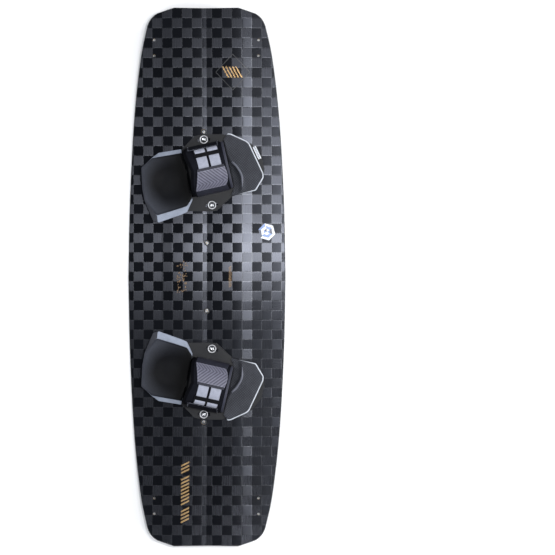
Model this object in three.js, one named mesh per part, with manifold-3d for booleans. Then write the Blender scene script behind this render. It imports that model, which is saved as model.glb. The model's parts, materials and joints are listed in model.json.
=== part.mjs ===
// Twin-tip kiteboard with two foot bindings, as an assembly of the pieces that it comes apart into.
// Millimetres. +Z points up out of the deck, +Y runs along the board, +X is the toe side.
// The origin lies under the middle of the board, on the surface that it rests on.
import * as THREE from "three";
import { mergeVertices } from "three/addons/utils/BufferGeometryUtils.js";
import Module from "manifold-3d";

const wasm = await Module();
wasm.setup();

// Board
const HALF_LENGTH = 695;
const HALF_WIDTH = 205;
const FLAT_HALF = 150; // the middle of the board is straight to here
const TIP_RISE = 38;
const TIP_THINNING = 0.3; // share of the thickness lost at the tips
const DECK_LINES = [[0, 8.6], [11, 9.5], [92, 9.9], [118, 8], [HALF_WIDTH, 6]]; // creases: distance out, height
const CROWN_RISE = 0.9; // how far a crown bulges above the line between its creases
const UNDERSIDE_CREASE = 127;
const TOP_SKIN = 1;
const BOTTOM_SKIN = 1.2;
const RAIL_WIDTH = 6;
const SKIN_GAP = 0.25;
const ROWS = [150, 215, 280, 345, 410, 470, 515, 560, 626, 705]; // facet lines across the board
const OVERSIZE = 212; // the layers are cut to the outline from blocks this wide to each side

// Hardware
const FIN_HOLE_X = 135;
const FIN_HOLES_Y = [573, 613];
const FIN_HOLE_RADIUS = 3.2;
const INSERT_RADIUS = 7;
const INSERT_BORE = 3.3;
const INSERT_DEPTH = 5.6;
const INSERT_SEAT = 0.3; // how far an insert sits below the deck or its hole stands off it
const HANDLE_INSERT_Y = 88.5;
const SPARE_STEP = 20; // the second stance option lies this much nearer the tip
const BOLT_RADIUS = 3;
const BOLT_HEAD_RADIUS = 5.8;
const WASHER_RADIUS = 11;
const WASHER_THICKNESS = 1.5;

// Bindings
const STANCE_HALF = 272; // binding centre from the middle of the board
const DUCK_ANGLE = 13;
const ANGLE_TRAVEL = 8; // each way, in the curved slots
const BOLTS = { outer: [-7.5, 85], inner: [13.5, -85] }; // from the binding centre, across and along the board
const SLOT_HALF_WIDTH = 3.7;
const PLATE = 5;
const STACK_GAP = 0.3;

// Strap: a round arch about an axis that drops towards the toes
const STRAP_CENTRE = [10, 6, 35];
const STRAP_PITCH = 8;
const LINING_INNER = 53;
const LINING_OUTER = 61;
const WEBBING = [61.6, 63.2];
const COVER = [63.9, 65.9];
const COVER_END = 0; // its free end, near the top of the arch
const FOLD_ANGLE = -53; // where the cover hinges, from the top of the arch towards the inner side
const BANDS = { rear: [-32.5, -6], front: [0, 26.5] };
const BAND_ARC = [-11, 36];
const KEEPER_ARC = [28, 37.5];
const KEEPER_BAR_ARC = [42.5, 45.5];
const LOOP_ARC = [38.5, 50.5];
const OUTER_PANEL_TOP = 53;

const radians = THREE.MathUtils.degToRad;

// ---- geometry helpers

// A manifold solid from a closed three.js geometry.
function solid(geometry) {
  const bare = geometry.clone();
  bare.deleteAttribute("normal");
  bare.deleteAttribute("uv");
  const merged = mergeVertices(bare, 1e-4);
  return new wasm.Manifold(
    new wasm.Mesh({
      numProp: 3,
      vertProperties: merged.attributes.position.array,
      triVerts: new Uint32Array(merged.index.array),
    }),
  );
}

// The three.js geometry of a manifold solid.
function geometryOf(body) {
  const mesh = body.getMesh();
  const geometry = new THREE.BufferGeometry();
  const places = new Float32Array(mesh.vertProperties);
  geometry.setAttribute("position", new THREE.BufferAttribute(places, 3));
  geometry.setIndex(new THREE.BufferAttribute(new Uint32Array(mesh.triVerts), 1));
  return geometry;
}

const cut = (body, cutters) => cutters.reduce((left, cutter) => left.subtract(solid(cutter)), body);

const join = (geometries) => geometryOf(geometries.map(solid).reduce((all, next) => all.add(next)));

// A closed block between two grids of points: upper(i, j) and lower(i, j) give [x, y, z].
function slab(columns, rows, upper, lower) {
  const places = [];
  const triangles = [];
  const quad = (a, b, c, d) => triangles.push(a, b, c, a, c, d);
  for (const side of [upper, lower]) {
    for (let j = 0; j <= rows; j += 1) {
      for (let i = 0; i <= columns; i += 1) {
        places.push(...side(i, j));
      }
    }
  }
  const stride = columns + 1;
  const under = stride * (rows + 1);
  const at = (i, j) => j * stride + i;
  for (let j = 0; j < rows; j += 1) {
    for (let i = 0; i < columns; i += 1) {
      quad(at(i, j), at(i + 1, j), at(i + 1, j + 1), at(i, j + 1));
      quad(under + at(i, j), under + at(i, j + 1), under + at(i + 1, j + 1), under + at(i + 1, j));
    }
    quad(at(0, j), at(0, j + 1), under + at(0, j + 1), under + at(0, j));
    quad(at(columns, j + 1), at(columns, j), under + at(columns, j), under + at(columns, j + 1));
  }
  for (let i = 0; i < columns; i += 1) {
    quad(at(i + 1, 0), at(i, 0), under + at(i, 0), under + at(i + 1, 0));
    quad(at(i, rows), at(i + 1, rows), under + at(i + 1, rows), under + at(i, rows));
  }
  const geometry = new THREE.BufferGeometry();
  geometry.setAttribute("position", new THREE.Float32BufferAttribute(places, 3));
  geometry.setIndex(triangles);
  return geometry;
}

// A closed body through stacked outlines of equal length, each {points: [[x, y], ...], z}, counter-clockwise.
function loft(levels) {
  const count = levels[0].points.length;
  const places = levels.flatMap(({ points, z }) => points.flatMap(([x, y]) => [x, y, z]));
  const triangles = [];
  for (let k = 0; k + 1 < levels.length; k += 1) {
    for (let i = 0; i < count; i += 1) {
      const a = k * count + i;
      const b = k * count + ((i + 1) % count);
      triangles.push(a, b, b + count, a, b + count, a + count);
    }
  }
  const cap = (points, first, flipped) => {
    const outline = points.map(([x, y]) => new THREE.Vector2(x, y));
    for (const [a, b, c] of THREE.ShapeUtils.triangulateShape(outline, [])) {
      triangles.push(first + a, first + (flipped ? c : b), first + (flipped ? b : c));
    }
  };
  cap(levels[0].points, 0, true);
  cap(levels.at(-1).points, (levels.length - 1) * count, false);
  const geometry = new THREE.BufferGeometry();
  geometry.setAttribute("position", new THREE.Float32BufferAttribute(places, 3));
  geometry.setIndex(triangles);
  return geometry;
}

// Points drawn towards the middle of their outline by a share.
function drawnIn(points, share, [cx, cy]) {
  return points.map(([x, y]) => [cx + (x - cx) * share, cy + (y - cy) * share]);
}

// A turned piece about +Z from a profile of [radius, height] points.
function turned(profile, sides) {
  const points = profile.map(([r, z]) => new THREE.Vector2(r, z));
  return new THREE.LatheGeometry(points, sides).rotateX(Math.PI / 2);
}

function ring(inner, outer, low, high, sides) {
  return turned([[inner, low], [outer, low], [outer, high], [inner, high], [inner, low]], sides);
}

function rod(radius, low, high, sides) {
  return turned([[0, low], [radius, low], [radius, high], [0, high]], sides);
}

function box([x0, x1], [y0, y1], [z0, z1]) {
  const block = new THREE.BoxGeometry(x1 - x0, y1 - y0, z1 - z0);
  return block.translate((x0 + x1) / 2, (y0 + y1) / 2, (z0 + z1) / 2);
}

function colour(hex, roughness, metalness = 0) {
  return new THREE.MeshStandardMaterial({ color: hex, roughness, metalness });
}

const materials = {
  carbon: colour(0x2b2e34, 0.35),
  rail: colour(0x101113, 0.45),
  core: colour(0xc9a873, 0.8),
  steel: colour(0xb4b6ba, 0.25, 1),
  plate: colour(0x1b1c1e, 0.5),
  foam: colour(0x151618, 0.85),
  slate: colour(0x76808f, 0.8),
  pale: colour(0xaeb3bb, 0.8),
  neoprene: colour(0x121316, 0.9),
  cover: colour(0x4a4a58, 0.6),
  webbing: colour(0x8d929d, 0.7),
  plastic: colour(0x0d0e10, 0.4),
  label: colour(0xb9bcc2, 0.7),
};

function piece(name, geometry, material) {
  const mesh = new THREE.Mesh(geometry, material);
  mesh.name = name;
  return mesh;
}

// ---- board surfaces

function rocker(y) {
  const past = Math.max(0, Math.abs(y) - FLAT_HALF);
  return TIP_RISE * (past / (HALF_LENGTH - FLAT_HALF)) ** 2;
}

// Height of a long bulge between two creases, t from 0 at one to 1 at the other.
const bulge = (height, t) => 4 * height * t * (1 - t);

// A valley in the middle, a convex crown on each side between two flat chines, and outer zones down to the rails.
function deckProfile(x) {
  const across = Math.abs(x);
  const last = DECK_LINES.length - 2;
  const k = Math.min(last, DECK_LINES.findLastIndex(([out]) => out <= across));
  const [[x0, z0], [x1, z1]] = DECK_LINES.slice(k);
  const t = (across - x0) / (x1 - x0);
  return z0 + (z1 - z0) * t + (k === 1 ? bulge(CROWN_RISE, t) : 0);
}

// Two concave channels beside a low spine, and flat rails that the board rests on.
function undersideProfile(x) {
  const t = Math.min(1, Math.abs(x) / UNDERSIDE_CREASE);
  return 0.4 * (1 - t) + bulge(2.6, t);
}

const thinning = (y) => 1 - TIP_THINNING * (Math.abs(y) / HALF_LENGTH) ** 3;
const deckHeight = (x, y) => rocker(y) + thinning(y) * deckProfile(x);
const undersideHeight = (x, y) => rocker(y) + undersideProfile(x);

// Lines along the board where its surfaces are creased or sampled, from the middle outward on both sides.
function mirroredLines(half) {
  const right = [...half, OVERSIZE];
  return [...right.map((x) => -x).reverse(), 0, ...right];
}

function deckColumns() {
  const [, [inner], [outer], [edge]] = DECK_LINES;
  const crown = [1, 2, 3].map((k) => inner + ((outer - inner) * k) / 4);
  return mirroredLines([inner, ...crown, outer, edge]);
}

function undersideColumns() {
  return mirroredLines([1, 2, 3, 4, 5, 6].map((k) => (UNDERSIDE_CREASE * k) / 6));
}

// A block between two surfaces of the board.
function layer(columns, upper, lower) {
  const rows = [...ROWS.map((y) => -y).reverse(), ...ROWS];
  const on = (surface) => (i, j) => [columns[i], rows[j], surface(columns[i], rows[j])];
  return solid(slab(columns.length - 1, rows.length - 1, on(upper), on(lower)));
}

// ---- board outline

// One quarter of the outline, from the middle of the tip to the widest point.
function quarterOutline(steps) {
  const corner = new THREE.QuadraticBezierCurve(
    new THREE.Vector2(126, 681),
    new THREE.Vector2(146, 671),
    new THREE.Vector2(153, 648),
  );
  const side = new THREE.SplineCurve(
    [[153, 648], [171.3, 563], [189.1, 407], [200.8, 200], [HALF_WIDTH, 0]].map(
      ([x, y]) => new THREE.Vector2(x, y),
    ),
  );
  const tip = [new THREE.Vector2(0, HALF_LENGTH - 1), new THREE.Vector2(83, HALF_LENGTH)];
  return [...tip, ...corner.getPoints(5), ...side.getPoints(steps).slice(1)];
}

// The whole outline as an upright block, drawn in from the true edge by a distance.
function outlineBlock(inset) {
  const acrossShare = (HALF_WIDTH - inset) / HALF_WIDTH;
  const alongShare = (HALF_LENGTH - inset) / HALF_LENGTH;
  const quarter = quarterOutline(9).map((p) => [p.x * acrossShare, p.y * alongShare]);
  const right = [...quarter, ...quarter.slice(0, -1).map(([x, y]) => [x, -y]).reverse()];
  const left = right.slice(1, -1).map(([x, y]) => [-x, y]).reverse();
  const points = [...right, ...left].reverse();
  return solid(loft([{ points, z: -20 }, { points, z: 80 }]));
}

// ---- places

// The frame of a binding on the deck: its plane touches the crowns and follows the rocker.
function bindingMount() {
  const step = 1;
  const slope = (rocker(STANCE_HALF + step) - rocker(STANCE_HALF - step)) / (2 * step);
  const mount = new THREE.Group();
  mount.rotation.x = Math.atan(slope);
  let height = 0;
  for (let x = 0; x <= 170; x += 5) {
    for (let y = -105; y <= 105; y += 5) {
      height = Math.max(height, deckHeight(x, STANCE_HALF + y) - slope * y);
    }
  }
  mount.position.set(0, STANCE_HALF, height + STACK_GAP);
  mount.updateMatrix();
  return mount;
}

// Threaded inserts of one half of the board, in the board's frame, each with the matrix of its flush face.
function insertPlaces() {
  const tilt = bindingMount().rotation.x;
  const at = (name, x, y, angle) => {
    const place = new THREE.Group();
    place.name = name;
    place.rotation.x = angle;
    place.position.set(x, y, deckHeight(x, y) - INSERT_SEAT);
    place.updateMatrix();
    return place;
  };
  const places = [at("handle_insert", 0, HANDLE_INSERT_Y, 0)];
  for (const [row, [x, y]] of Object.entries(BOLTS)) {
    places.push(at(row + "_insert", x, STANCE_HALF + y, tilt));
    places.push(at(row + "_spare_insert", x, STANCE_HALF + y + SPARE_STEP, tilt));
  }
  return places;
}

// ---- board pieces

// A geometry mirrored to the other half of the board, with its faces turned back outward.
function otherHalf(geometry) {
  const copy = mergeVertices(geometry.clone().deleteAttribute("normal").deleteAttribute("uv"), 1e-4);
  copy.scale(1, -1, 1);
  const order = copy.index.array;
  for (let k = 0; k < order.length; k += 3) {
    [order[k], order[k + 1]] = [order[k + 1], order[k]];
  }
  return copy;
}

const onBothHalves = (geometries) => geometries.flatMap((g) => [g, otherHalf(g)]);

function insertHoles() {
  return onBothHalves(
    insertPlaces().map((place) => {
      const hole = rod(INSERT_RADIUS + INSERT_SEAT, -INSERT_DEPTH - INSERT_SEAT, 6, 14);
      return hole.applyMatrix4(place.matrix);
    }),
  );
}

function finHoles() {
  const holes = [];
  for (const x of [-FIN_HOLE_X, FIN_HOLE_X]) {
    for (const y of FIN_HOLES_Y) {
      holes.push(rod(FIN_HOLE_RADIUS, -5, 60, 10).translate(x, y, 0));
    }
  }
  return onBothHalves(holes);
}

function boardPieces() {
  const holes = finHoles();
  const wells = insertHoles();
  const inside = (x, y) => undersideHeight(x, y) + BOTTOM_SKIN;
  const beneath = (x, y) => deckHeight(x, y) - TOP_SKIN;
  const whole = outlineBlock(0);
  const within = outlineBlock(RAIL_WIDTH);
  const coreOutline = outlineBlock(RAIL_WIDTH + SKIN_GAP);
  const filling = layer(
    deckColumns(),
    (x, y) => beneath(x, y) - SKIN_GAP,
    (x, y) => inside(x, y) + SKIN_GAP,
  );
  const top = layer(deckColumns(), deckHeight, beneath).intersect(whole);
  const bottom = layer(undersideColumns(), inside, undersideHeight).intersect(whole);
  const rail = filling.intersect(whole).subtract(within);
  const core = filling.intersect(coreOutline);
  return [
    piece("top_laminate", geometryOf(cut(top, [...holes, ...wells])), materials.carbon),
    piece("wood_core", geometryOf(cut(core, [...holes, ...wells])), materials.core),
    piece("bottom_laminate", geometryOf(cut(bottom, holes)), materials.carbon),
    piece("edge_rail", geometryOf(rail), materials.rail),
  ];
}

function insertPieces(prefix) {
  return insertPlaces().map((place) => {
    const shape = ring(INSERT_BORE, INSERT_RADIUS, -INSERT_DEPTH, 0, 14);
    const insert = piece(prefix + place.name, shape, materials.steel);
    insert.applyMatrix4(place.matrix);
    return insert;
  });
}

// The round sticker on the flat outer zone of the deck, above the middle.
function badge() {
  const x = 156;
  const place = piece("deck_badge", rod(23, 0.1, 0.5, 24), materials.label);
  const slope = deckProfile(x + 1) - deckProfile(x);
  place.position.set(x, 117.5, deckHeight(x, 0));
  place.rotation.y = -Math.atan(slope);
  return place;
}

// ---- binding plate, bolts and pads, in the frame of the binding: x from heel to toe, y towards the tip

const PLATE_OUTLINE = [
  [-60, 66], [-120, 60], [-150, 42], [-160, 0], [-160, -36], [-148, -74], [-76, -86],
  [-25, -98], [3, -103], [52, -75], [112, -72], [140, -45], [148, -27], [149, 10],
  [131, 45], [108, 61], [74, 80], [60, 88], [16, 98], [-8, 99], [-16, 95],
];
const HEEL_FOOT = [
  [-51, 73], [-110, 77], [-131, 68], [-162, 50], [-172, -5], [-174, -36],
  [-164, -92], [-151, -99], [-88, -92], [-73, -89], [-52, -62],
];
const HEEL_TOP = [
  [-51, 62], [-108, 65], [-130, 66], [-161, 49], [-171, -5], [-172, -36],
  [-153, -77], [-148, -80], [-88, -76], [-69, -74], [-52, -57],
];
const TOE_OUTLINE = [
  [62, -69.5], [49, -70], [51, -74], [114, -75], [141, -47], [143, -36],
  [125, 48], [119, 56], [84, 83], [75, 86], [62, 73],
];
const ARCH_PAD = [[-46, -43], [44, -43], [56, -38], [56, 49], [44, 54], [-46, 54]];
const HEEL_MIDDLE = [-112, -8];
const TOE_MIDDLE = [98, 0];
const LAYER_TOP = 18;
const ANCHOR_X = 6;

// A bolt's place in the turned frame of the binding.
function boltInBinding([x, y]) {
  const turn = radians(DUCK_ANGLE);
  return [x * Math.cos(turn) + y * Math.sin(turn), y * Math.cos(turn) - x * Math.sin(turn)];
}

// A slot curved about the middle of the binding, so that the plate can turn around its bolts.
function curvedSlot(bolt) {
  const [x, y] = boltInBinding(bolt);
  const radius = Math.hypot(x, y);
  const middle = Math.atan2(y, x);
  const half = radians(ANGLE_TRAVEL) + SLOT_HALF_WIDTH / radius;
  const at = (z) => (i, j) => {
    const angle = middle + half - (2 * half * i) / 8;
    const r = radius + SLOT_HALF_WIDTH * (2 * j - 1);
    return [r * Math.cos(angle), r * Math.sin(angle), z];
  };
  return slab(8, 1, at(PLATE + 1), at(-1));
}

// The screws that hold the strap's two ends down, under the middle of each leg.
function anchorPlaces() {
  const middle = (LINING_INNER + LINING_OUTER) / 2;
  return {
    inner: [ANCHOR_X, STRAP_CENTRE[1] - middle],
    outer: [ANCHOR_X, STRAP_CENTRE[1] + middle],
  };
}

function plate() {
  const blank = solid(loft([{ points: PLATE_OUTLINE, z: 0 }, { points: PLATE_OUTLINE, z: PLATE }]));
  const screwHoles = Object.values(anchorPlaces()).map(([x, y]) => {
    const hole = turned([[0, -1], [4.6, -1], [4.6, 2.4], [2.5, 2.5], [2.5, 7], [0, 7]], 10);
    return hole.translate(x, y, 0);
  });
  return geometryOf(cut(blank, [curvedSlot(BOLTS.outer), curvedSlot(BOLTS.inner), ...screwHoles]));
}

function heelLayer() {
  const low = PLATE + STACK_GAP;
  return loft([
    { points: HEEL_FOOT, z: low },
    { points: HEEL_FOOT, z: low + 3 },
    { points: HEEL_TOP, z: LAYER_TOP },
  ]);
}

// The black heel pad: a raised rim around a dish for the heel.
function heelPad() {
  const level = (share, z) => ({ points: drawnIn(HEEL_TOP, share, HEEL_MIDDLE), z });
  const low = LAYER_TOP + STACK_GAP;
  return loft([level(1, low), level(1, 26), level(0.94, 29), level(0.84, 28), level(0.6, 21.5), level(0.3, 20.5)]);
}

function toeLayer() {
  const level = (share, z) => ({ points: drawnIn(TOE_OUTLINE, share, TOE_MIDDLE), z });
  return loft([level(1, PLATE + STACK_GAP), level(1, 13)]);
}

// The ribbed toe pad, with the curved ridge that the toes grip.
function toePad() {
  const level = (share, z) => ({ points: drawnIn(TOE_OUTLINE, share, TOE_MIDDLE), z });
  const block = loft([level(0.955, 13 + STACK_GAP), level(0.955, 18), level(0.93, 19)]);
  const crest = new THREE.CatmullRomCurve3(
    [[70, 14], [79, -3], [86, -27], [84, -45], [77, -62]].map(([x, y]) => new THREE.Vector3(x, y, 19)),
  );
  const section = new THREE.Shape();
  section.absarc(0, 0, 5, 0, 2 * Math.PI);
  const ridge = new THREE.ExtrudeGeometry(section, { steps: 10, extrudePath: crest, curveSegments: 8 });
  return join([block, ridge]);
}

function archPad() {
  const level = (share, z) => ({ points: drawnIn(ARCH_PAD, share, [0, 0]), z });
  return loft([level(1, PLATE + STACK_GAP), level(1, 14), level(0.94, 17)]);
}

function boltPiece(name, place) {
  const head = PLATE + STACK_GAP + WASHER_THICKNESS + STACK_GAP;
  const tip = -STACK_GAP - 4;
  const profile = [
    [0, tip], [BOLT_RADIUS, tip], [BOLT_RADIUS, head], [BOLT_HEAD_RADIUS, head],
    [BOLT_HEAD_RADIUS, head + 1.2], [4.9, head + 2.6], [2.3, head + 3.4], [2, head + 1.6], [0, head + 1.6],
  ];
  const bolt = piece(name, turned(profile, 14), materials.steel);
  bolt.position.set(place[0], place[1], 0);
  return bolt;
}

function washerPiece(name, place) {
  const low = PLATE + STACK_GAP;
  const washer = ring(BOLT_RADIUS + 0.4, WASHER_RADIUS, low, low + WASHER_THICKNESS, 20);
  const mesh = piece(name, washer, materials.steel);
  mesh.position.set(place[0], place[1], 0);
  return mesh;
}

// ---- strap, in the frame of its axis: x along the foot, y across it, z up; angles from the top towards +y

// A point at a radius and angle on the arch; past a quarter turn it runs straight down the leg.
function onArch(x, radius, degrees) {
  const bend = Math.min(90, Math.abs(degrees));
  const drop = (Math.abs(degrees) - bend) * 1.2;
  const angle = radians(bend) * Math.sign(degrees);
  return [x, radius * Math.sin(angle), radius * Math.cos(angle) - drop];
}

// A curved sheet of the arch between two radii and two angles, from x = from(angle) to x = to(angle).
function archSheet([inner, outer], [first, last], from, to, columns = 1) {
  const steps = Math.ceil((last - first) / 9);
  const at = (radius) => (i, j) => {
    const angle = first + ((last - first) * j) / steps;
    const start = from(angle);
    return onArch(start + ((to(angle) - start) * i) / columns, radius, angle);
  };
  return slab(columns, steps, at(outer), at(inner));
}

const always = (value) => () => value;
const LEG_END = 125;

function strapFrame() {
  const frame = new THREE.Group();
  frame.position.set(...STRAP_CENTRE);
  frame.rotation.y = radians(STRAP_PITCH);
  frame.updateMatrix();
  return frame;
}

// Cuts the legs of a strap piece level, just above the plate.
function trimmed(sheet, cutters = []) {
  const level = PLATE + 0.4;
  const toStrap = strapFrame().matrix.clone().invert();
  const below = box([-120, 120], [-120, 120], [level - 80, level]).applyMatrix4(toStrap);
  return geometryOf(cut(solid(sheet), [below, ...cutters.map((c) => c.applyMatrix4(toStrap))]));
}

function liningRear(degrees) {
  const t = Math.min(1, Math.abs(degrees) / 90);
  return -52 - 8 * Math.sin(0.9 * Math.PI * t);
}

function liningFront(degrees) {
  const t = Math.min(1, Math.abs(degrees) / 90);
  return 43 + 7 * t * t;
}

function lining() {
  const sheet = archSheet([LINING_INNER, LINING_OUTER], [-LEG_END, LEG_END], liningRear, liningFront, 2);
  const holes = Object.values(anchorPlaces()).map(([x, y]) => rod(2.4, 0, PLATE + 13, 8).translate(x, y, 0));
  return trimmed(sheet, holes);
}

const coverShare = (degrees) => (COVER_END - degrees) / (COVER_END - FOLD_ANGLE);
const coverRear = (degrees) => -37 - 14 * coverShare(degrees);
const coverFront = (degrees) => 35 + 6 * Math.sin(Math.PI * coverShare(degrees)) - 3 * coverShare(degrees);

// The inner and outer radii of a layer that lies on the lining, a distance above it.
function onLining(lift, thickness) {
  const low = LINING_OUTER + STACK_GAP + lift;
  return [low, low + thickness];
}

function sidePanel([first, last], radii) {
  const top = Math.abs(first) < Math.abs(last) ? first : last;
  const share = (degrees) => (Math.abs(degrees) - Math.abs(top)) / (LEG_END - Math.abs(top));
  const rear = (degrees) => -50 + 8 * share(degrees);
  const front = (degrees) => 32 + 12 * share(degrees);
  return trimmed(archSheet(radii, [first, last], rear, front));
}

// A flat webbing band whose free end slides round the arch to tighten the strap.
function band([from, to]) {
  return archSheet(WEBBING, BAND_ARC, always(from), always(to));
}

// The black keeper: a bridge over the ends of both bands, three cheeks, and the bar that the loops hold.
function keeper() {
  const top = LINING_OUTER + 5;
  const { rear, front } = BANDS;
  const ends = [always(rear[0] - 2.5), always(front[1] + 2.5)];
  const cheekArc = [KEEPER_ARC[0], KEEPER_BAR_ARC[1] + 0.5];
  const cheek = (from, to) => archSheet([LINING_OUTER + STACK_GAP, top], cheekArc, always(from), always(to));
  return join([
    archSheet([top - 2.2, top], KEEPER_ARC, ...ends),
    cheek(rear[0] - 2.5, rear[0] - 0.5),
    cheek(rear[1] + 0.5, front[0] - 0.5),
    cheek(front[1] + 0.5, front[1] + 2.5),
    archSheet([top - 3.1, top - 1.2], KEEPER_BAR_ARC, always(rear[0] - 2), always(front[1] + 2)),
  ]);
}

// The folded loop of webbing around the keeper's bar, with the tail that runs under the outer panel.
function loop([from, to]) {
  const [first, last] = LOOP_ARC;
  const low = WEBBING[0];
  const outer = solid(archSheet([low, low + 4.7], [first, last], always(from), always(to)));
  const tail = solid(archSheet([low, low + 1.3], [last - 2, last + 13], always(from), always(to)));
  const hole = archSheet([low + 0.8, low + 3.8], [first + 3.1, last - 4], always(from - 5), always(to + 5));
  return geometryOf(cut(outer.add(tail), [hole]));
}

function anchorScrew([x, y]) {
  return turned([[0, 0.3], [4, 0.3], [2, 2.2], [2, 17], [0, 17]], 8).translate(x, y, 0);
}

// ---- one binding, and the board with both

function strapPieces(prefix) {
  const frame = strapFrame();
  frame.name = prefix + "strap_axis";
  frame.add(
    piece(prefix + "strap_lining", lining(), materials.neoprene),
    piece(prefix + "strap_inner_panel", sidePanel([-LEG_END, FOLD_ANGLE - 1.7], onLining(0, 3)), materials.cover),
    piece(prefix + "strap_outer_panel", sidePanel([OUTER_PANEL_TOP, LEG_END], onLining(1.9, 1.6)), materials.neoprene),
    piece(prefix + "strap_cover", archSheet(COVER, [FOLD_ANGLE, COVER_END], coverRear, coverFront), materials.cover),
    piece(prefix + "keeper", keeper(), materials.plastic),
    piece(
      prefix + "hook_patch",
      archSheet(onLining(0, 2), [FOLD_ANGLE + 1, -26], always(-44), always(28)),
      materials.neoprene,
    ),
  );
  for (const [name, range] of Object.entries(BANDS)) {
    frame.add(
      piece(prefix + name + "_webbing", band(range), materials.webbing),
      piece(prefix + name + "_webbing_loop", loop(range), materials.webbing),
    );
  }
  return frame;
}

function binding(prefix) {
  const mount = bindingMount();
  mount.name = prefix + "binding_mount";
  const turning = new THREE.Group();
  turning.rotation.z = radians(DUCK_ANGLE);
  turning.add(
    piece(prefix + "base_plate", plate(), materials.plate),
    piece(prefix + "heel_layer", heelLayer(), materials.slate),
    piece(prefix + "heel_pad", heelPad(), materials.foam),
    piece(prefix + "arch_pad", archPad(), materials.foam),
    piece(prefix + "toe_layer", toeLayer(), materials.pale),
    piece(prefix + "toe_pad", toePad(), materials.foam),
    strapPieces(prefix),
  );
  for (const [end, place] of Object.entries(anchorPlaces())) {
    turning.add(piece(prefix + end + "_anchor_screw", anchorScrew(place), materials.steel));
  }
  mount.add(turning);
  for (const [row, place] of Object.entries(BOLTS)) {
    mount.add(
      boltPiece(prefix + row + "_bolt", place),
      washerPiece(prefix + row + "_washer", place),
    );
  }
  return { mount, turning };
}

// The woven label beside the toe edge of one binding.
function labelTab() {
  const label = piece("left_label_tab", box([-4, 4], [-17.5, 17.5], [0, 1.2]), materials.label);
  label.position.set(139, 20, PLATE + STACK_GAP);
  label.rotation.z = Math.atan2(143 - 125, 48 + 36);
  return label;
}

const board = new THREE.Group();
board.add(...boardPieces(), badge());
for (const [prefix, side] of [["left_", 1], ["right_", -1]]) {
  const half = new THREE.Group();
  half.scale.y = side;
  const { mount, turning } = binding(prefix);
  if (side > 0) {
    turning.add(labelTab());
  }
  half.add(mount, ...insertPieces(prefix));
  board.add(half);
}

export default board;
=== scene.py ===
"""Looks of a twin-tip kiteboard with two foot bindings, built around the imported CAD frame.

Metres, +Z up out of the deck, +Y along the board, +X to the toe side. Pieces of a binding are drawn in
millimetres in the binding's own frame (u from heel to toe, v towards the tip, z up) and placed by the
CAD joints.
"""

import json
import math
import random

import bmesh
import bpy
from mathutils import Matrix, Vector


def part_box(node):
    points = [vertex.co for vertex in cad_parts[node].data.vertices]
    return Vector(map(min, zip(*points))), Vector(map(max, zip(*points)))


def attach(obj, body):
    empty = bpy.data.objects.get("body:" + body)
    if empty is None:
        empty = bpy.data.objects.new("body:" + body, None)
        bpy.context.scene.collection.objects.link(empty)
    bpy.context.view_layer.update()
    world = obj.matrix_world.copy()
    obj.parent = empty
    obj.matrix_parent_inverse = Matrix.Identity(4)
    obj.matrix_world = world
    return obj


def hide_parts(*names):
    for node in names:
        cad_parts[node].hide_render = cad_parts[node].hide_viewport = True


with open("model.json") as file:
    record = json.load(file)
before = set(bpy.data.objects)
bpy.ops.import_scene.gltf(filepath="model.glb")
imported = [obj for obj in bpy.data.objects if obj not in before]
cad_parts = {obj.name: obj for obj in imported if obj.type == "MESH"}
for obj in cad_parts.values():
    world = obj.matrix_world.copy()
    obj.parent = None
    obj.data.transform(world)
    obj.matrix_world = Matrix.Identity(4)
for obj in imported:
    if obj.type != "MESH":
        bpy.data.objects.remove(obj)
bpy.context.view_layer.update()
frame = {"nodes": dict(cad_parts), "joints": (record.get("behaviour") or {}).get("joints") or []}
joints = {joint["name"]: joint for joint in frame["joints"]}

MM = 0.001
SIDES = ("left", "right")

# Board, in millimetres
HALF_LENGTH = 695
HALF_WIDTH = 205
FLAT_HALF = 150
TIP_RISE = 38
TIP_THINNING = 0.3
DECK_LINES = [(0, 8.6), (11, 9.5), (92, 9.9), (118, 8), (HALF_WIDTH, 6)]
CROWN_RISE = 0.9
UNDERSIDE_CREASE = 127
UNDERSIDE_RIDGE = 0.4
CHANNEL_BOW = 10.4
SKIN = 1.2
RAIL_LIP = 1.6
FIN_HOLE_X = 135
FIN_HOLES_Y = (573, 613)
FIN_HOLE_RADIUS = 3.2
INSERT_RADIUS = 7

# Carbon squares, in millimetres: their size, and where one begins
TOW = (25.75, 25.2)
TOW_START = (14.8, 13.5)

# Strap, in millimetres and degrees; a pair is the inner and outer radius of a layer round the arch,
# or the two ends of a span
ARCH_HEIGHT = 35
ARCH_PITCH = 8
LINING = (53, 61)
PLATE = 5
LAYER_TOP = 18
COVER = (63.9, 65.9)
HEM = (63.7, 66.3)
SEAM_TAPE = (64.1, 65.1)
INNER_FACING = (61.6, 64.2)
OUTER_FACING = (63.2, 64.8)
HOOK_PATCH = (61.5, 63.2)
BAND = (61.7, 63.2)
BAND_SPAN = (-11, 36)
FOLD_ANGLE = -53
COVER_END = 0
OUTER_PANEL_TOP = 53
LEG_END = 112
LOOP_RADIUS = 64
CHEVRON_APEX = 42
BANDS = {"rear": (-32.5, -6), "front": (0, 26.5)}

# Pads, in millimetres
PAD_FOOT = PLATE + 0.3
HEEL_DISH = (-94, -6)
HEEL_DISH_REACH = (68, 66)
HEEL_RIM = 26
HEEL_CUP = 3.4
HEEL_FLOOR = 19.4
TOE_FRONT = 68
TOE_FLOOR = 13.2
TOE_TOP = 18.6
TOE_LOW = 4.2
TOE_RIDGE = 6.0

# Depth in metres and strength of the pores' relief
FOAM_RELIEF = (0.00018, 0.6)


# -------- materials


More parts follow.
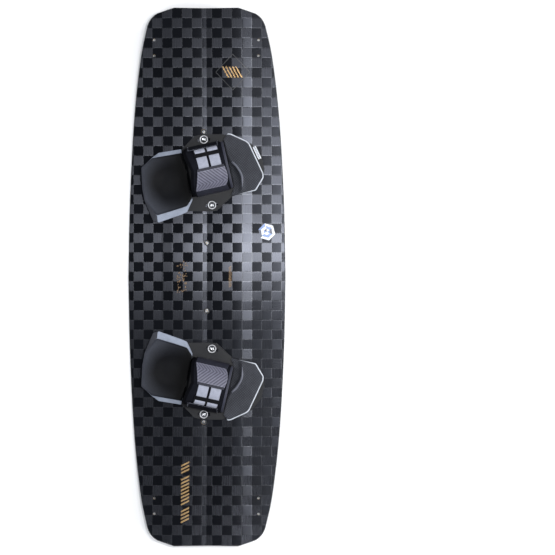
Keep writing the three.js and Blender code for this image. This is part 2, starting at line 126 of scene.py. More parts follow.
class Shade:
    """A node material, built node by node; a value is a number, a tuple or another node's socket."""

    def __init__(self, name, roughness=0.6, metallic=0.0, specular=0.5):
        self.material = bpy.data.materials.new(name)
        self.material.use_nodes = True
        self.nodes = self.material.node_tree.nodes
        self.links = self.material.node_tree.links
        self.shader = self.nodes["Principled BSDF"]
        self.set("Roughness", roughness)
        self.set("Metallic", metallic)
        self.set("Specular IOR Level", specular)

    def put(self, socket, value):
        if isinstance(value, bpy.types.NodeSocket):
            self.links.new(value, socket)
        else:
            socket.default_value = value

    def set(self, name, value):
        self.put(self.shader.inputs[name], value)

    def add(self, kind, inputs=(), **settings):
        node = self.nodes.new("ShaderNode" + kind)
        for key, value in settings.items():
            setattr(node, key, value)
        for key, value in dict(inputs).items():
            self.put(node.inputs[key], value)
        return node

    def math(self, operation, a, b=0.0):
        return self.add("Math", {0: a, 1: b}, operation=operation).outputs[0]

    def plus(self, a, b):
        return self.math("ADD", a, b)

    def minus(self, a, b):
        return self.math("SUBTRACT", a, b)

    def times(self, a, b):
        return self.math("MULTIPLY", a, b)

    def over(self, a, b):
        return self.math("DIVIDE", a, b)

    def coordinates(self, kind="Object"):
        return self.add("TexCoord").outputs[kind]

    def flat(self, kind="UV"):
        """The first two coordinates."""
        return self.add("SeparateXYZ", {0: self.coordinates(kind)}).outputs[:2]

    def vector(self, x, y, z=0.0):
        return self.add("CombineXYZ", {0: x, 1: y, 2: z}).outputs[0]

    def noise(self, vector, scale, detail=2.0, roughness=0.5):
        inputs = {"Vector": vector, "Scale": scale, "Detail": detail, "Roughness": roughness}
        return self.add("TexNoise", inputs).outputs[0]

    def random(self, value):
        return self.add("TexWhiteNoise", {"W": value}, noise_dimensions="1D").outputs["Value"]

    def ramp(self, value, low, high, to_low=0.0, to_high=1.0):
        inputs = {"Value": value, 1: low, 2: high, 3: to_low, 4: to_high}
        return self.add("MapRange", inputs).outputs[0]

    def vary(self, value, amount):
        """A noise value as a factor that varies about 1."""
        return self.ramp(value, 0.3, 0.7, 1 - amount, 1 + amount)

    def mix(self, share, first, second, blend_type="MIX"):
        node = self.add("Mix", data_type="RGBA", blend_type=blend_type)
        self.put(node.inputs[0], share)
        for socket, value in ((node.inputs[6], first), (node.inputs[7], second)):
            self.put(socket, (*value, 1.0) if isinstance(value, tuple) else value)
        return node.outputs[2]

    def dimmed(self, colour, factor):
        """A colour times a grey value."""
        return self.mix(1.0, colour, self.vector(factor, factor, factor), "MULTIPLY")

    def paint(self, colour, tone):
        self.set("Base Color", self.dimmed(colour, tone))

    def polish(self, value, low, high):
        """A roughness that follows a noise value."""
        self.set("Roughness", self.ramp(value, 0.3, 0.7, low, high))

    def pores(self):
        """The fine cells of moulded foam."""
        inputs = {"Vector": self.coordinates(), "Scale": 800.0}
        return self.add("TexVoronoi", inputs, feature="F1").outputs[0]

    def weave(self, u, v, period):
        """Two diagonal sets of threads that cross."""
        return self.times(self.wave(self.plus(u, v), period), self.wave(self.minus(u, v), period))

    def patterned(self, colour, pattern, tones, cloud, depth, strength):
        """A fine pattern in the tone and the relief of a colour that varies a little."""
        scale, detail, amount = cloud
        varied = self.vary(self.noise(self.coordinates(), scale, detail), amount)
        self.paint(colour, self.times(self.ramp(pattern, 0.0, 0.8, *tones), varied))
        self.bump(pattern, depth, strength)
        return self.material

    def bump(self, height, distance, strength=1.0):
        inputs = {"Height": height, "Distance": distance, "Strength": strength}
        self.set("Normal", self.add("Bump", inputs).outputs[0])

    def stripe(self, value, period, share=0.5):
        """1 on the first share of each period, else 0."""
        place = self.math("FRACT", self.over(value, period))
        return self.math("LESS_THAN", place, share)

    def wave(self, value, period):
        """A sine between 0 and 1."""
        turned = self.math("SINE", self.times(value, 2 * math.pi / period))
        return self.ramp(turned, -1.0, 1.0)


def carbon(name, colour, tones, roughness, across):
    """One set of the flat tows of a spread-tow weave, with its fibres along the board or across it."""
    s = Shade(name, roughness, 0.65 if across else 0.95, 0.15)
    x, y = s.flat("Object")
    column = s.over(s.minus(x, TOW_START[0] * MM), TOW[0] * MM)
    row = s.over(s.minus(y, TOW_START[1] * MM), TOW[1] * MM)
    fine, coarse = 1500.0, 14.0
    scales = (coarse, fine) if across else (fine, coarse)
    streak = s.noise(s.vector(s.times(x, scales[0]), s.times(y, scales[1])), 1.0, 3.0)
    tone = s.ramp(s.random(s.math("FLOOR", row if across else column)), 0.0, 1.0, *tones)
    tow = s.dimmed(colour, s.times(tone, s.vary(streak, 0.09)))

    # thin pale lines where tows meet
    edge = s.math("MINIMUM", s.math("PINGPONG", column, 0.5), s.math("PINGPONG", row, 0.5))
    s.set("Base Color", s.mix(s.ramp(edge, 0.012, 0.03, 0.4, 0.0), tow, (0.05, 0.052, 0.055)))
    s.polish(streak, roughness - 0.01, roughness + 0.01)
    s.bump(s.plus(s.ramp(edge, 0.0, 0.06), s.times(streak, 0.12)), 0.00005, 0.5)
    s.set("Anisotropic", 0.6 if across else 0.88)
    s.set("Anisotropic Rotation", 0.25 if across else 0.0)
    s.set("Tangent", s.add("Tangent", direction_type="UV_MAP", uv_map="UVMap").outputs[0])
    return s.material


def plain(name, colour, roughness, grain=0.0, grain_size=0.001, spread=0.15):
    """A moulded surface: a colour that varies a little, and a fine grain."""
    s = Shade(name, roughness, specular=0.25)
    place = s.coordinates()
    cloud = s.noise(place, 18.0, 4.0)
    fine = s.noise(place, 1.0 / grain_size, 3.0, 0.6)
    tone = s.times(s.vary(cloud, spread), s.vary(fine, 0.12))
    s.paint(colour, tone)
    s.polish(cloud, roughness - 0.05, roughness + 0.05)
    if grain:
        s.bump(fine, grain, 0.7)
    return s.material


def steel(name, colour, low, high):
    """Stainless steel with fine turned marks and a few scuffs."""
    s = Shade(name, low, 1.0)
    place = s.coordinates()
    scuff = s.noise(place, 900.0, 4.0, 0.7)
    s.paint(colour, s.ramp(scuff, 0.3, 0.7, 0.85, 1.05))
    s.set("Roughness", s.ramp(scuff, 0.35, 0.75, low, high))
    s.bump(scuff, 0.00003, 0.5)
    return s.material


def wood():
    """Pale core wood in glued strips, with grain along the board."""
    s = Shade("core_wood", 0.75)
    x, y = s.flat("Object")
    strip = s.random(s.math("FLOOR", s.over(x, 0.04)))
    grain = s.noise(s.vector(s.times(x, 420.0), s.times(y, 9.0), strip), 1.0, 5.0, 0.6)
    colour = s.mix(s.ramp(grain, 0.35, 0.65), (0.52, 0.37, 0.21), (0.72, 0.57, 0.38))
    s.paint(colour, s.ramp(strip, 0.0, 1.0, 0.85, 1.1))
    s.bump(grain, 0.0001, 0.5)
    return s.material


def foam(name, colour, roughness=0.8):
    """Closed-cell moulded foam: tiny pores, and a soft cloudiness."""
    s = Shade(name, roughness, specular=0.3)
    cells = s.pores()
    cloud = s.noise(s.coordinates(), 35.0, 4.0, 0.6)
    tone = s.times(s.ramp(cells, 0.0, 0.6, 0.8, 1.12), s.vary(cloud, 0.15))
    s.paint(colour, tone)
    s.polish(cloud, roughness - 0.07, roughness + 0.05)
    s.bump(s.plus(cells, s.times(cloud, 0.6)), *FOAM_RELIEF)
    return s.material


def heel_foam():
    """The heel pad's black foam, darkest in its dish, with a painted sheen that makes the rim paler,
    most of all behind the heel, and painted shade that darkens it towards the strap.
    """
    s = Shade("heel_foam", 0.55, 0.0, 0.09)
    u, v = s.flat()
    across = s.over(s.plus(u, -HEEL_DISH[0] * MM), HEEL_DISH_REACH[0] * MM)
    along = s.over(s.plus(v, -HEEL_DISH[1] * MM), HEEL_DISH_REACH[1] * MM)
    oval = s.math("SQRT", s.plus(s.times(across, across), s.times(along, along)))
    cells = s.pores()
    cloud = s.noise(s.coordinates(), 35.0, 4.0, 0.6)
    # Painted sheen: the rim is mixed towards a paler colour, most of all behind the heel, where light
    # catches the dish's wall
    rim = s.ramp(s.plus(oval, s.times(cloud, 0.25)), 0.75, 1.3)
    painted_rim_sheen = s.times(rim, s.ramp(u, -0.165, -0.1, 1.0, 0.35))
    colour = s.mix(painted_rim_sheen, (0.003, 0.0033, 0.0046), (0.035, 0.038, 0.048))
    # Painted shadow of the strap: the tone falls to an eighth towards the strap
    tone = s.times(s.ramp(cells, 0.0, 0.6, 0.75, 1.2), s.ramp(u, -0.1, -0.062, 1.0, 0.12))
    s.paint(colour, tone)
    s.polish(cloud, 0.5, 0.62)
    s.bump(s.plus(cells, s.times(cloud, 0.6)), *FOAM_RELIEF)
    return s.material


def ribbed_foam():
    """The toe pad's top: a fine moulded lattice of small diamonds."""
    s = Shade("ribbed_foam", 0.72, 0.0, 0.15)
    u, v = s.flat()
    colour = (0.053, 0.056, 0.067)
    return s.patterned(colour, s.weave(u, v, 0.0048), (0.3, 1.8), (60.0, 4.0, 0.12), 0.0005, 0.9)


def neoprene(name, colour):
    """Knit-faced neoprene, nearly black."""
    s = Shade(name, 0.88, 0.0, 0.05)
    u, v = s.flat()
    knit = s.times(s.wave(u, 0.0011), s.wave(s.plus(v, s.times(u, 0.5)), 0.0014))
    return s.patterned(colour, knit, (0.75, 1.3), (45.0, 3.0, 0.2), 0.0001, 0.6)


def twill():
    """Coated grey-violet fabric with a chevron weave that points to the toes."""
    s = Shade("chevron_twill", 0.5, 0.0, 0.3)
    u, v = s.flat()
    arm = s.math("ABSOLUTE", s.plus(v, CHEVRON_APEX * MM))
    chevron = s.plus(u, s.times(arm, 0.9))
    broad = s.stripe(chevron, 0.0088, 0.5)
    thread = s.wave(s.minus(u, s.times(arm, 1.1)), 0.0009)
    cloud = s.noise(s.coordinates(), 80.0, 3.0)
    colour = s.mix(broad, (0.064, 0.064, 0.09), (0.138, 0.138, 0.182))
    tone = s.times(s.ramp(thread, 0.0, 1.0, 0.92, 1.06), s.vary(cloud, 0.1))
    s.paint(colour, tone)
    s.set("Roughness", s.ramp(broad, 0.0, 1.0, 0.55, 0.42))
    s.bump(s.plus(thread, s.times(broad, 0.6)), 0.00012, 0.7)
    return s.material


def tape(name, colour):
    """Woven edge tape."""
    s = Shade(name, 0.6, 0.0, 0.3)
    u, v = s.flat()
    weave = s.weave(u, v, 0.0012)
    s.paint(colour, s.ramp(weave, 0.0, 0.8, 0.75, 1.25))
    s.bump(weave, 0.00012, 0.7)
    return s.material


def webbing():
    """Flat grey nylon webbing: ribs across, and a plaited look along."""
    s = Shade("grey_webbing", 0.6, 0.0, 0.3)
    u, v = s.flat()
    plait = s.wave(s.plus(u, s.times(s.wave(v, 0.003), 0.0008)), 0.0019)
    weave = s.times(s.wave(v, 0.0015), plait)
    colour = (0.315, 0.332, 0.405)
    s.set("Sheen Weight", 0.2)
    return s.patterned(colour, weave, (0.78, 1.18), (120.0, 3.0, 0.08), 0.00022, 0.8)


def gold_hatch(name, colour):
    """Gold film with fine diagonal hatching."""
    s = Shade(name, 0.38, 0.75)
    x, y = s.flat("Object")
    hatch = s.stripe(s.plus(x, y), 0.0034, 0.62)
    fleck = s.noise(s.coordinates(), 500.0, 2.0)
    gold = s.dimmed(colour, s.ramp(fleck, 0.3, 0.7, 0.75, 1.2))
    s.set("Base Color", s.mix(hatch, (0.03, 0.028, 0.03), gold))
    return s.material


def label_weave():
    """A small woven label: pale border, darker woven middle with plain bars."""
    s = Shade("woven_label", 0.65)
    u, v = s.flat()
    inside = s.math("LESS_THAN", s.math("ABSOLUTE", u), 0.0026)
    bars = s.stripe(v, 0.0042, 0.35)
    middle = s.mix(bars, (0.3, 0.32, 0.35), (0.62, 0.65, 0.7))
    thread = s.wave(s.plus(u, v), 0.0008)
    colour = s.mix(inside, (0.85, 0.88, 0.92), middle)
    s.paint(colour, s.ramp(thread, 0.0, 1.0, 0.85, 1.1))
    s.bump(thread, 0.00015, 0.7)
    return s.material


MATERIALS = {
    "carbon_along": carbon("carbon_tows_along", (0.0235, 0.0248, 0.0296), (0.88, 1.08), 0.27, False),
    "carbon_across": carbon("carbon_tows_across", (0.0102, 0.0112, 0.0145), (0.75, 1.2), 0.22, True),
    "rail": plain("rail_plastic", (0.018, 0.019, 0.021), 0.35, 0.00005, 0.0008),
    "steel": steel("stainless_steel", (0.5, 0.51, 0.53), 0.18, 0.36),
    "dull_steel": steel("dull_steel", (0.3, 0.305, 0.32), 0.35, 0.5),
    "wood": wood(),
    "plate": plain("plate_plastic", (0.0034, 0.0039, 0.006), 0.45, 0.00012, 0.0009, 0.2),
    "black_foam": foam("black_foam", (0.003, 0.0033, 0.0047), 0.7),
    "heel_foam": heel_foam(),
    "slate_foam": foam("slate_foam", (0.25, 0.28, 0.345)),
    "heel_side_foam": foam("heel_side_foam", (0.035, 0.037, 0.046)),
    "pale_foam": foam("pale_foam", (0.52, 0.55, 0.6)),
    "ribbed_foam": ribbed_foam(),
    "neoprene": neoprene("neoprene", (0.0075, 0.008, 0.0115)),
    # Darker than the lining, for the rear edge tape: the neoprene's own black, made darker still as
    # painted shade of the foot opening
    "black_neoprene": neoprene("black_neoprene", (0.002, 0.0022, 0.0035)),
    "twill": twill(),
    "webbing": webbing(),
    "tape": tape("edge_tape", (0.017, 0.018, 0.029)),
    "slate_tape": tape("slate_tape", (0.034, 0.036, 0.054)),
    # The toe bead is paler than its pad: partly its own colour, partly a painted highlight along the
    # ridge
    "bead": plain("moulded_bead", (0.12, 0.126, 0.155), 0.42, 0.00006, 0.0006),
    "plastic": plain("black_plastic", (0.004, 0.004, 0.005), 0.4, 0.00005, 0.0006),
    "nylon": plain("insert_nylon", (0.014, 0.015, 0.017), 0.5, 0.00008, 0.0006),
    "gold": gold_hatch("gold_film", (0.38, 0.24, 0.095)),
    "old_gold": gold_hatch("old_gold_film", (0.2, 0.125, 0.06)),
    "label": label_weave(),
    "white_film": plain("white_film", (0.72, 0.76, 0.82), 0.25, spread=0.06),
    "blue_film": plain("blue_film", (0.16, 0.25, 0.5), 0.25, spread=0.1),
    "ink_film": plain("ink_film", (0.05, 0.065, 0.11), 0.25, spread=0.1),
}


# -------- mesh helpers


def shaded(mesh, sharp):
    mesh.polygons.foreach_set("use_smooth", [True] * len(mesh.polygons))
    mesh.set_sharp_from_angle(angle=math.radians(sharp))


def flat_uv(points):
    """Flat coordinates, in metres, of points in millimetres."""
    return [(p[0] * MM, p[1] * MM) for p in points]


def middle_point(points, face):
    return sum((Vector(points[i]) for i in face), Vector()) / len(face)


def finished(name, points, faces, materials, uv=None, place=None, sharp=35, face_material=None):
    """An object from points and faces; place carries the points into the board's frame, in metres."""
    place = place or Matrix.Identity(4)
    mirrored = place.to_3x3().determinant() < 0
    mesh = bpy.data.meshes.new(name)
    ordered = [tuple(reversed(face)) if mirrored else tuple(face) for face in faces]
    mesh.from_pydata([place @ Vector(p) for p in points], [], ordered)
    for material in materials:
        mesh.materials.append(MATERIALS[material])
    if uv:
        layer = mesh.uv_layers.new(name="UVMap")
        for loop in mesh.loops:
            layer.data[loop.index].uv = uv[loop.vertex_index]
    if face_material:
        for polygon, face in zip(mesh.polygons, faces):
            polygon.material_index = face_material(face)
    mesh.validate()
    shaded(mesh, sharp)
    mesh.update()
    piece = bpy.data.objects.new(name, mesh)
    bpy.context.scene.collection.objects.link(piece)
    return piece


def grid_faces(columns, rows, start=0, flip=False):
    stride = columns + 1
    faces = []
    for j in range(rows):
        for i in range(columns):
            a = start + j * stride + i
            face = (a, a + 1, a + 1 + stride, a + stride)
            faces.append(tuple(reversed(face)) if flip else face)
    return faces


def block(columns, rows, upper, lower):
    """Points and faces of a block between two grids, whose points upper(i, j) and lower(i, j) give."""
    spots = [(i, j) for j in range(rows + 1) for i in range(columns + 1)]
    points = [upper(i, j) for i, j in spots] + [lower(i, j) for i, j in spots]
    under = len(spots)
    faces = grid_faces(columns, rows) + grid_faces(columns, rows, under, True)
    stride = columns + 1
    for j in range(rows):
        a, b = j * stride, (j + 1) * stride
        faces.append((a, b, b + under, a + under))
        a, b = a + columns, b + columns
        faces.append((b, a, a + under, b + under))
    for i in range(columns):
        faces.append((i + 1, i, i + under, i + 1 + under))
        a = rows * stride + i
        faces.append((a, a + 1, a + 1 + under, a + under))
    return points, faces


def swept(loops, closed=False):
    """Points and faces of a tube through equal loops of points, capped unless it closes on itself."""
    count = len(loops[0])
    points = [p for loop in loops for p in loop]
    faces = []
    for k in range(len(loops) if closed else len(loops) - 1):
        a = k * count
        b = ((k + 1) % len(loops)) * count
        for i in range(count):
            n = (i + 1) % count
            faces.append((a + i, a + n, b + n, b + i))
    if not closed:
        last = (len(loops) - 1) * count
        faces.append(tuple(reversed(range(count))))
        faces.append(tuple(range(last, last + count)))
    return points, faces


def turned(profile, sides=40):
    """Points and faces of a turned piece; the profile runs counter-clockwise in (radius, height)."""
    loops = []
    for k in range(sides):
        angle = 2 * math.pi * k / sides
        loops.append([(r * math.cos(angle), r * math.sin(angle), z) for r, z in profile])
    points, faces = swept(loops, closed=True)
    return points, [tuple(reversed(face)) for face in faces]


def cleaned(piece, sharp, distance=0.00001):
    """Welds doubled points, drops faces without area, and shades the piece."""
    mesh = bmesh.new()
    mesh.from_mesh(piece.data)
    bmesh.ops.remove_doubles(mesh, verts=mesh.verts, dist=distance)
    bmesh.ops.dissolve_degenerate(mesh, edges=mesh.edges, dist=distance)
    bmesh.ops.recalc_face_normals(mesh, faces=mesh.faces)
    mesh.to_mesh(piece.data)
    mesh.free()
    shaded(piece.data, sharp)
    piece.data.update()
    return piece


def combined(piece, tool, operation):
    """Cuts or crops the piece with the tool, which is then removed."""
    modifier = piece.modifiers.new("tool", "BOOLEAN")
    modifier.operation = operation
    modifier.solver = "EXACT"
    modifier.object = tool
    graph = bpy.context.evaluated_depsgraph_get()
    mesh = bpy.data.meshes.new_from_object(piece.evaluated_get(graph))
    piece.modifiers.clear()
    piece.data = mesh
    bpy.data.objects.remove(tool)


def settled(piece, body, node=None):
    """Ties a piece to its body, and hides the CAD node that it stands for."""
    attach(piece, body)
    if node:
        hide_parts(node)
    return piece


def smooth(value):
    """0 to 1 with soft ends."""
    t = min(1.0, max(0.0, value))
    return t * t * (3 - 2 * t)


def between(a, b, share):
    return a + (b - a) * share


def curved(a, b, c, t):
    """A point of the curve from a to c that b pulls."""
    return a * (1 - t) ** 2 + b * 2 * t * (1 - t) + c * t * t


def quarter_turn(v):
    """A flat vector turned a quarter to the left."""
    return Vector((-v.y, v.x))


def left_side(line, k):
    """The unit vector to the left of an open line at its point k."""
    return quarter_turn((line[min(k + 1, len(line) - 1)] - line[max(k - 1, 0)]).normalized())


def around(x, y, radius, turn):
    return (x + radius * math.cos(turn), y + radius * math.sin(turn))


# -------- outlines


def rounded(points, radius, arc=5):
    """An outline with its corners rounded."""
    result = []
    count = len(points)
    for k, point in enumerate(points):
        p = Vector(point)
        back = Vector(points[k - 1]) - p
        ahead = Vector(points[(k + 1) % count]) - p
        cut = min(radius, 0.4 * back.length, 0.4 * ahead.length)
        start = p + back.normalized() * cut
        end = p + ahead.normalized() * cut
        for step in range(arc + 1):
            t = step / arc
            result.append(curved(start, p, end, t))
    return result


def resampled(points, spacing):
    """The same closed outline with extra points on its long stretches."""
    result = []
    for k, point in enumerate(points):
        ahead = points[(k + 1) % len(points)]
        steps = max(1, round((ahead - point).length / spacing))
        result += [point.lerp(ahead, step / steps) for step in range(steps)]
    return result


def inset(points, distance):
    """A counter-clockwise outline moved inward."""
    result = []
    count = len(points)
    for k in range(count):
        p = Vector(points[k])
        one = quarter_turn((p - Vector(points[k - 1])).normalized())
        two = quarter_turn((Vector(points[(k + 1) % count]) - p).normalized())
        result.append(p + (one + two) * distance / max(0.4, 1 + one.dot(two)))
    return result


def distance_to(points, p, closed=True):
    """Distance from p to a line of points, and the side of it that p is on: 1 for its left."""
    best = (1e9, 1)
    for k in range(len(points) if closed else len(points) - 1):
        a = Vector(points[k])
        b = Vector(points[(k + 1) % len(points)])
        along = b - a
        t = min(1.0, max(0.0, (p - a).dot(along) / along.length_squared))
        away = p - (a + along * t)
        if away.length < best[0]:
            best = (away.length, 1 if along.cross(away) >= 0 else -1)
    return best


def catmull(points, steps):
    """A smooth line through points."""
    result = []
    last = len(points) - 1
    for k in range(last):
        p0 = Vector(points[max(0, k - 1)])
        p1 = Vector(points[k])
        p2 = Vector(points[k + 1])
        p3 = Vector(points[min(last, k + 2)])
        for step in range(steps):
            t = step / steps
            one = (p2 - p0) * 0.5
            two = (p3 - p1) * 0.5
            a = 2 * p1 - 2 * p2 + one + two
            b = -3 * p1 + 3 * p2 - 2 * one - two
            result.append(a * t**3 + b * t**2 + one * t + p1)
    return [*result, Vector(points[last])]


# -------- board


def rocker(y):
    past = max(0.0, abs(y) - FLAT_HALF)
    return TIP_RISE * (past / (HALF_LENGTH - FLAT_HALF)) ** 2


def deck_height(x, y):
    across = abs(x)
    k = max(i for i, (out, _) in enumerate(DECK_LINES[:-1]) if out <= across)
    (x0, z0), (x1, z1) = DECK_LINES[k : k + 2]
    t = (across - x0) / (x1 - x0)
    height = between(z0, z1, t) + (4 * CROWN_RISE * t * (1 - t) if k == 1 else 0)
    return rocker(y) + height * (1 - TIP_THINNING * (abs(y) / HALF_LENGTH) ** 3)


def underside_height(x, y):
    t = min(1.0, abs(x) / UNDERSIDE_CREASE)
    return rocker(y) + UNDERSIDE_RIDGE * (1 - t) + CHANNEL_BOW * t * (1 - t)


def board_outline(back=0.0):
    """The board's outline, counter-clockwise from the upper tip's middle, drawn in by a distance."""
    tip = [Vector((0, 694)), Vector((40, 694.2)), Vector((83, HALF_LENGTH))]
    start, pull, end = Vector((126, 681)), Vector((146, 671)), Vector((153, 648))
    corner = [curved(start, pull, end, k / 9) for k in range(9)]
    side = catmull([end, (171.3, 563), (189.1, 407), (200.8, 200), (HALF_WIDTH, 0)], 12)
    scale = ((HALF_WIDTH - back) / HALF_WIDTH, (HALF_LENGTH - back) / HALF_LENGTH)
    quarter = [Vector((p.x * scale[0], p.y * scale[1])) for p in (*tip, *corner, *side)]
    right = quarter + [Vector((p.x, -p.y)) for p in reversed(quarter[:-1])]
    left = [Vector((-p.x, p.y)) for p in reversed(right[1:-1])]
    return list(reversed(right + left))


METRES = Matrix.Scale(MM, 4)

# Heights between which a tool cuts through a skin, and the least distance between grid lines
CUT = (-30, 90)
SHORTEST_STEP = 0.3


def cutters(places, radius):
    """One object of upright round tools at places."""
    points, faces = [], []
    turns = [math.tau * k / 28 for k in range(28)]
    for x, y in places:
        start = len(points)
        more, more_faces = swept([[(*around(x, y, radius, a), z) for a in turns] for z in CUT])
        points += more
        faces += [tuple(start + i for i in face) for face in more_faces]
    return finished("cutters", points, faces, [], place=METRES)


def tow_lines(axis, reach, extra, spacing):
    """Grid lines at the borders of the tows and at extra places, with even steps between them."""
    first = math.ceil((-reach - TOW_START[axis]) / TOW[axis])
    last = math.floor((reach - TOW_START[axis]) / TOW[axis])
    borders = [TOW_START[axis] + TOW[axis] * k for k in range(first, last + 1)]
    marks = sorted([-reach, reach, *borders, *extra])
    lines = [marks[0]]
    for mark in marks[1:]:
        start = lines[-1]
        if mark - start < SHORTEST_STEP:
            continue
        steps = max(1, round((mark - start) / spacing))
        lines += [start + (mark - start) * k / steps for k in range(1, steps + 1)]
    return lines


def is_across(x, y):
    """Whether the tow on top at a place runs across the board."""
    squares = [math.floor((p - start) / size) for p, start, size in zip((x, y), TOW_START, TOW)]
    return sum(squares) % 2 == 0


def skin(name, marks, upper, lower, holes, node):
    """One carbon face of the board: a fine sheet cropped to the outline, with its holes."""
    creases = [0, *marks, *(-x for x in marks)]
    columns = tow_lines(0, HALF_WIDTH + 7, creases, 6)
    rows = tow_lines(1, HALF_LENGTH + 10, [], 9)

    def at(surface):
        return lambda i, j: (columns[i], rows[j], surface(columns[i], rows[j]))

    def tow(face):
        return int(is_across(*middle_point(points, face).xy))

    points, faces = block(len(columns) - 1, len(rows) - 1, at(upper), at(lower))
    materials = ["carbon_along", "carbon_across"]
    sheet = finished(name, points, faces, materials, flat_uv(points), METRES, 35, tow)
    outline = board_outline(RAIL_LIP)
    prism = swept([[(p.x, p.y, z) for p in outline] for z in CUT])
    combined(sheet, finished("crop", *prism, [], place=METRES), "INTERSECT")
    for radius, places in holes:
        combined(sheet, cutters(places, radius), "DIFFERENCE")
    shaded(sheet.data, 2.0)
    settled(sheet, "board", node)


def insert_nodes():
    return [n for n in frame["nodes"] if n.endswith("insert")]


def middle_of(node):
    low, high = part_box(node)
    return (low + high) / 2


def build_skins():
    fin_rows = [*FIN_HOLES_Y, *(-y for y in FIN_HOLES_Y)]
    fins = (FIN_HOLE_RADIUS, [(x, y) for x in (-FIN_HOLE_X, FIN_HOLE_X) for y in fin_rows])
    insert_places = [(middle_of(n).x / MM, middle_of(n).y / MM) for n in insert_nodes()]
    inserts = (INSERT_RADIUS + 0.3, insert_places)
    creases = [out for out, _ in DECK_LINES[1:-1]]

    def under_deck(x, y):
        return deck_height(x, y) - 1

    def over_underside(x, y):
        return underside_height(x, y) + SKIN

    deck = (deck_height, under_deck)
    underside = (over_underside, underside_height)
    skin("deck_skin", creases, *deck, [fins, inserts], "top_laminate")
    skin("underside_skin", [UNDERSIDE_CREASE], *underside, [fins], "bottom_laminate")


def build_rail():
    """The plastic side wall, rounded towards both faces, and lapped by the skins."""
    outer = board_outline()
    loops = []
    for k, p in enumerate(outer):
        inward = quarter_turn(outer[(k + 1) % len(outer)] - outer[k - 1]).normalized()
        top, bottom = deck_height(p.x, p.y), underside_height(p.x, p.y)
        section = [
            (6, bottom + SKIN + 0.1), (RAIL_LIP, bottom + SKIN), (RAIL_LIP - 0.1, bottom + 0.1),
            (0.7, bottom + 0.3), (0.2, bottom + 0.9), (0, bottom + 1.8),
            (0, top - 1.8), (0.2, top - 0.9), (0.7, top - 0.3),
            (RAIL_LIP - 0.1, top - 0.1), (RAIL_LIP, top - 1.1), (6, top - 1.15),
        ]
        loops.append([(*(p + inward * out), z) for out, z in section])
    rail = finished("side_rail", *swept(loops, closed=True), ["rail"], place=METRES)
    settled(cleaned(rail, 40), "board", "edge_rail")


build_skins()
build_rail()


# -------- frames of the bindings


def binding_place(side):
    """The matrix from a binding's own millimetres to the board's frame, and its strap's matrix."""
    mirror = 1 if side == "left" else -1
    stance = joints[side + "_stance_angle"]
    arch = joints[side + "_rear_band_tighten"]
    up = (Vector(stance["axis"]) * mirror).normalized()
    along = (Vector(arch["axis"]) * mirror).normalized()
    toe = (along - up * along.dot(up)).normalized()
    tip = up.cross(toe) * mirror

    def matrix(x, y, z, origin):
        turn = Matrix((x, y, z)).transposed().to_4x4()
        return Matrix.Translation(Vector(origin)) @ turn @ METRES

    over = along.cross(tip) * mirror
    return matrix(toe, tip, up, stance["pos_m"]), matrix(along, tip, over, arch["pos_m"])


PLACES = {side: binding_place(side) for side in SIDES}


# -------- foam pads

HEEL_FOOT = [
    (-51, 73), (-110, 77), (-131, 68), (-162, 50), (-172, -5), (-174, -36),
    (-164, -92), (-151, -99), (-88, -92), (-73, -89), (-52, -62),
]
HEEL_TOP = [
    (-51, 62), (-108, 65), (-130, 66), (-161, 49), (-171, -5), (-172, -36),
    (-153, -77), (-148, -80), (-88, -76), (-69, -74), (-52, -57),
]
TOE_OUTLINE = [
    (62, -69.5), (49, -70), (51, -74), (114, -75), (141, -47), (143, -36),
    (125, 48), (119, 56), (84, 83), (75, 86), (62, 73),
]
ARCH_PAD = [(-46, -43), (44, -43), (56, -38), (56, 49), (44, 54), (-46, 54)]
TOE_CREST = catmull([(58, 30), (67, 15), (79, -3), (86.5, -27), (84.5, -48), (76, -74)], 6)
TOE_STEP = 3.2


def pad(name, outline, middle, floor, height, material, place, wall=0.6):
    """A foam pad: an upright wall, and a top whose height follows the place and its edge's distance."""
    rim = resampled(outline, 4.0)
    shares = [
        1, 0.992, 0.98, 0.962, 0.94, 0.91, 0.875, 0.83, 0.78, 0.72, 0.65, 0.57, 0.48, 0.38, 0.27, 0.15,
    ]
    centre = Vector(middle)
    base = [centre + (p - centre) * (1 + wall / (p - centre).length) for p in rim]
    loops = [[(p.x, p.y, floor + lift) for p in base] for lift in (0, 1.0)]
    for share in shares:
        ring = [centre + (p - centre) * share for p in rim]
        inner = share < 1
        loops.append([(q.x, q.y, height(q, distance_to(rim, q)[0] if inner else 0.0)) for q in ring])
    points, faces = swept(loops)
    last = (len(loops) - 1) * len(rim)
    faces.pop()
    points.append((*centre, height(centre, distance_to(rim, centre)[0])))
    for i in range(len(rim)):
        faces.append((last + i, last + (i + 1) % len(rim), len(points) - 1))
    return finished(name, points, faces, [material], flat_uv(points), place, sharp=50)


def heel_height(p, edge):
    """A rim that is highest behind the heel, round an oval dish that opens towards the strap."""
    cup = 1 - 0.75 * smooth((p.x + 105) / 50)
    rim = HEEL_RIM + HEEL_CUP * cup * smooth(edge / 4)
    away = [(place - middle) / reach for place, middle, reach in zip(p, HEEL_DISH, HEEL_DISH_REACH)]
    return between(rim, HEEL_FLOOR, smooth((1.08 - math.hypot(*away)) / 0.8))


def toe_height(p, edge):
    """A flat top with a curved ridge, and lower ground between the ridge and the strap."""
    away, side = distance_to(TOE_CREST, p, closed=False)
    ridge = TOE_RIDGE * math.exp(-((away / 5.2) ** 2))
    ground = TOE_TOP if side > 0 else TOE_TOP - TOE_LOW * smooth(away / 11)
    return ground - 1.3 * (1 - smooth(edge / 2.2)) + ridge * smooth(edge / 7)


def arch_height(_, edge):
    return 17 - 2.2 * (1 - smooth(edge / 5))


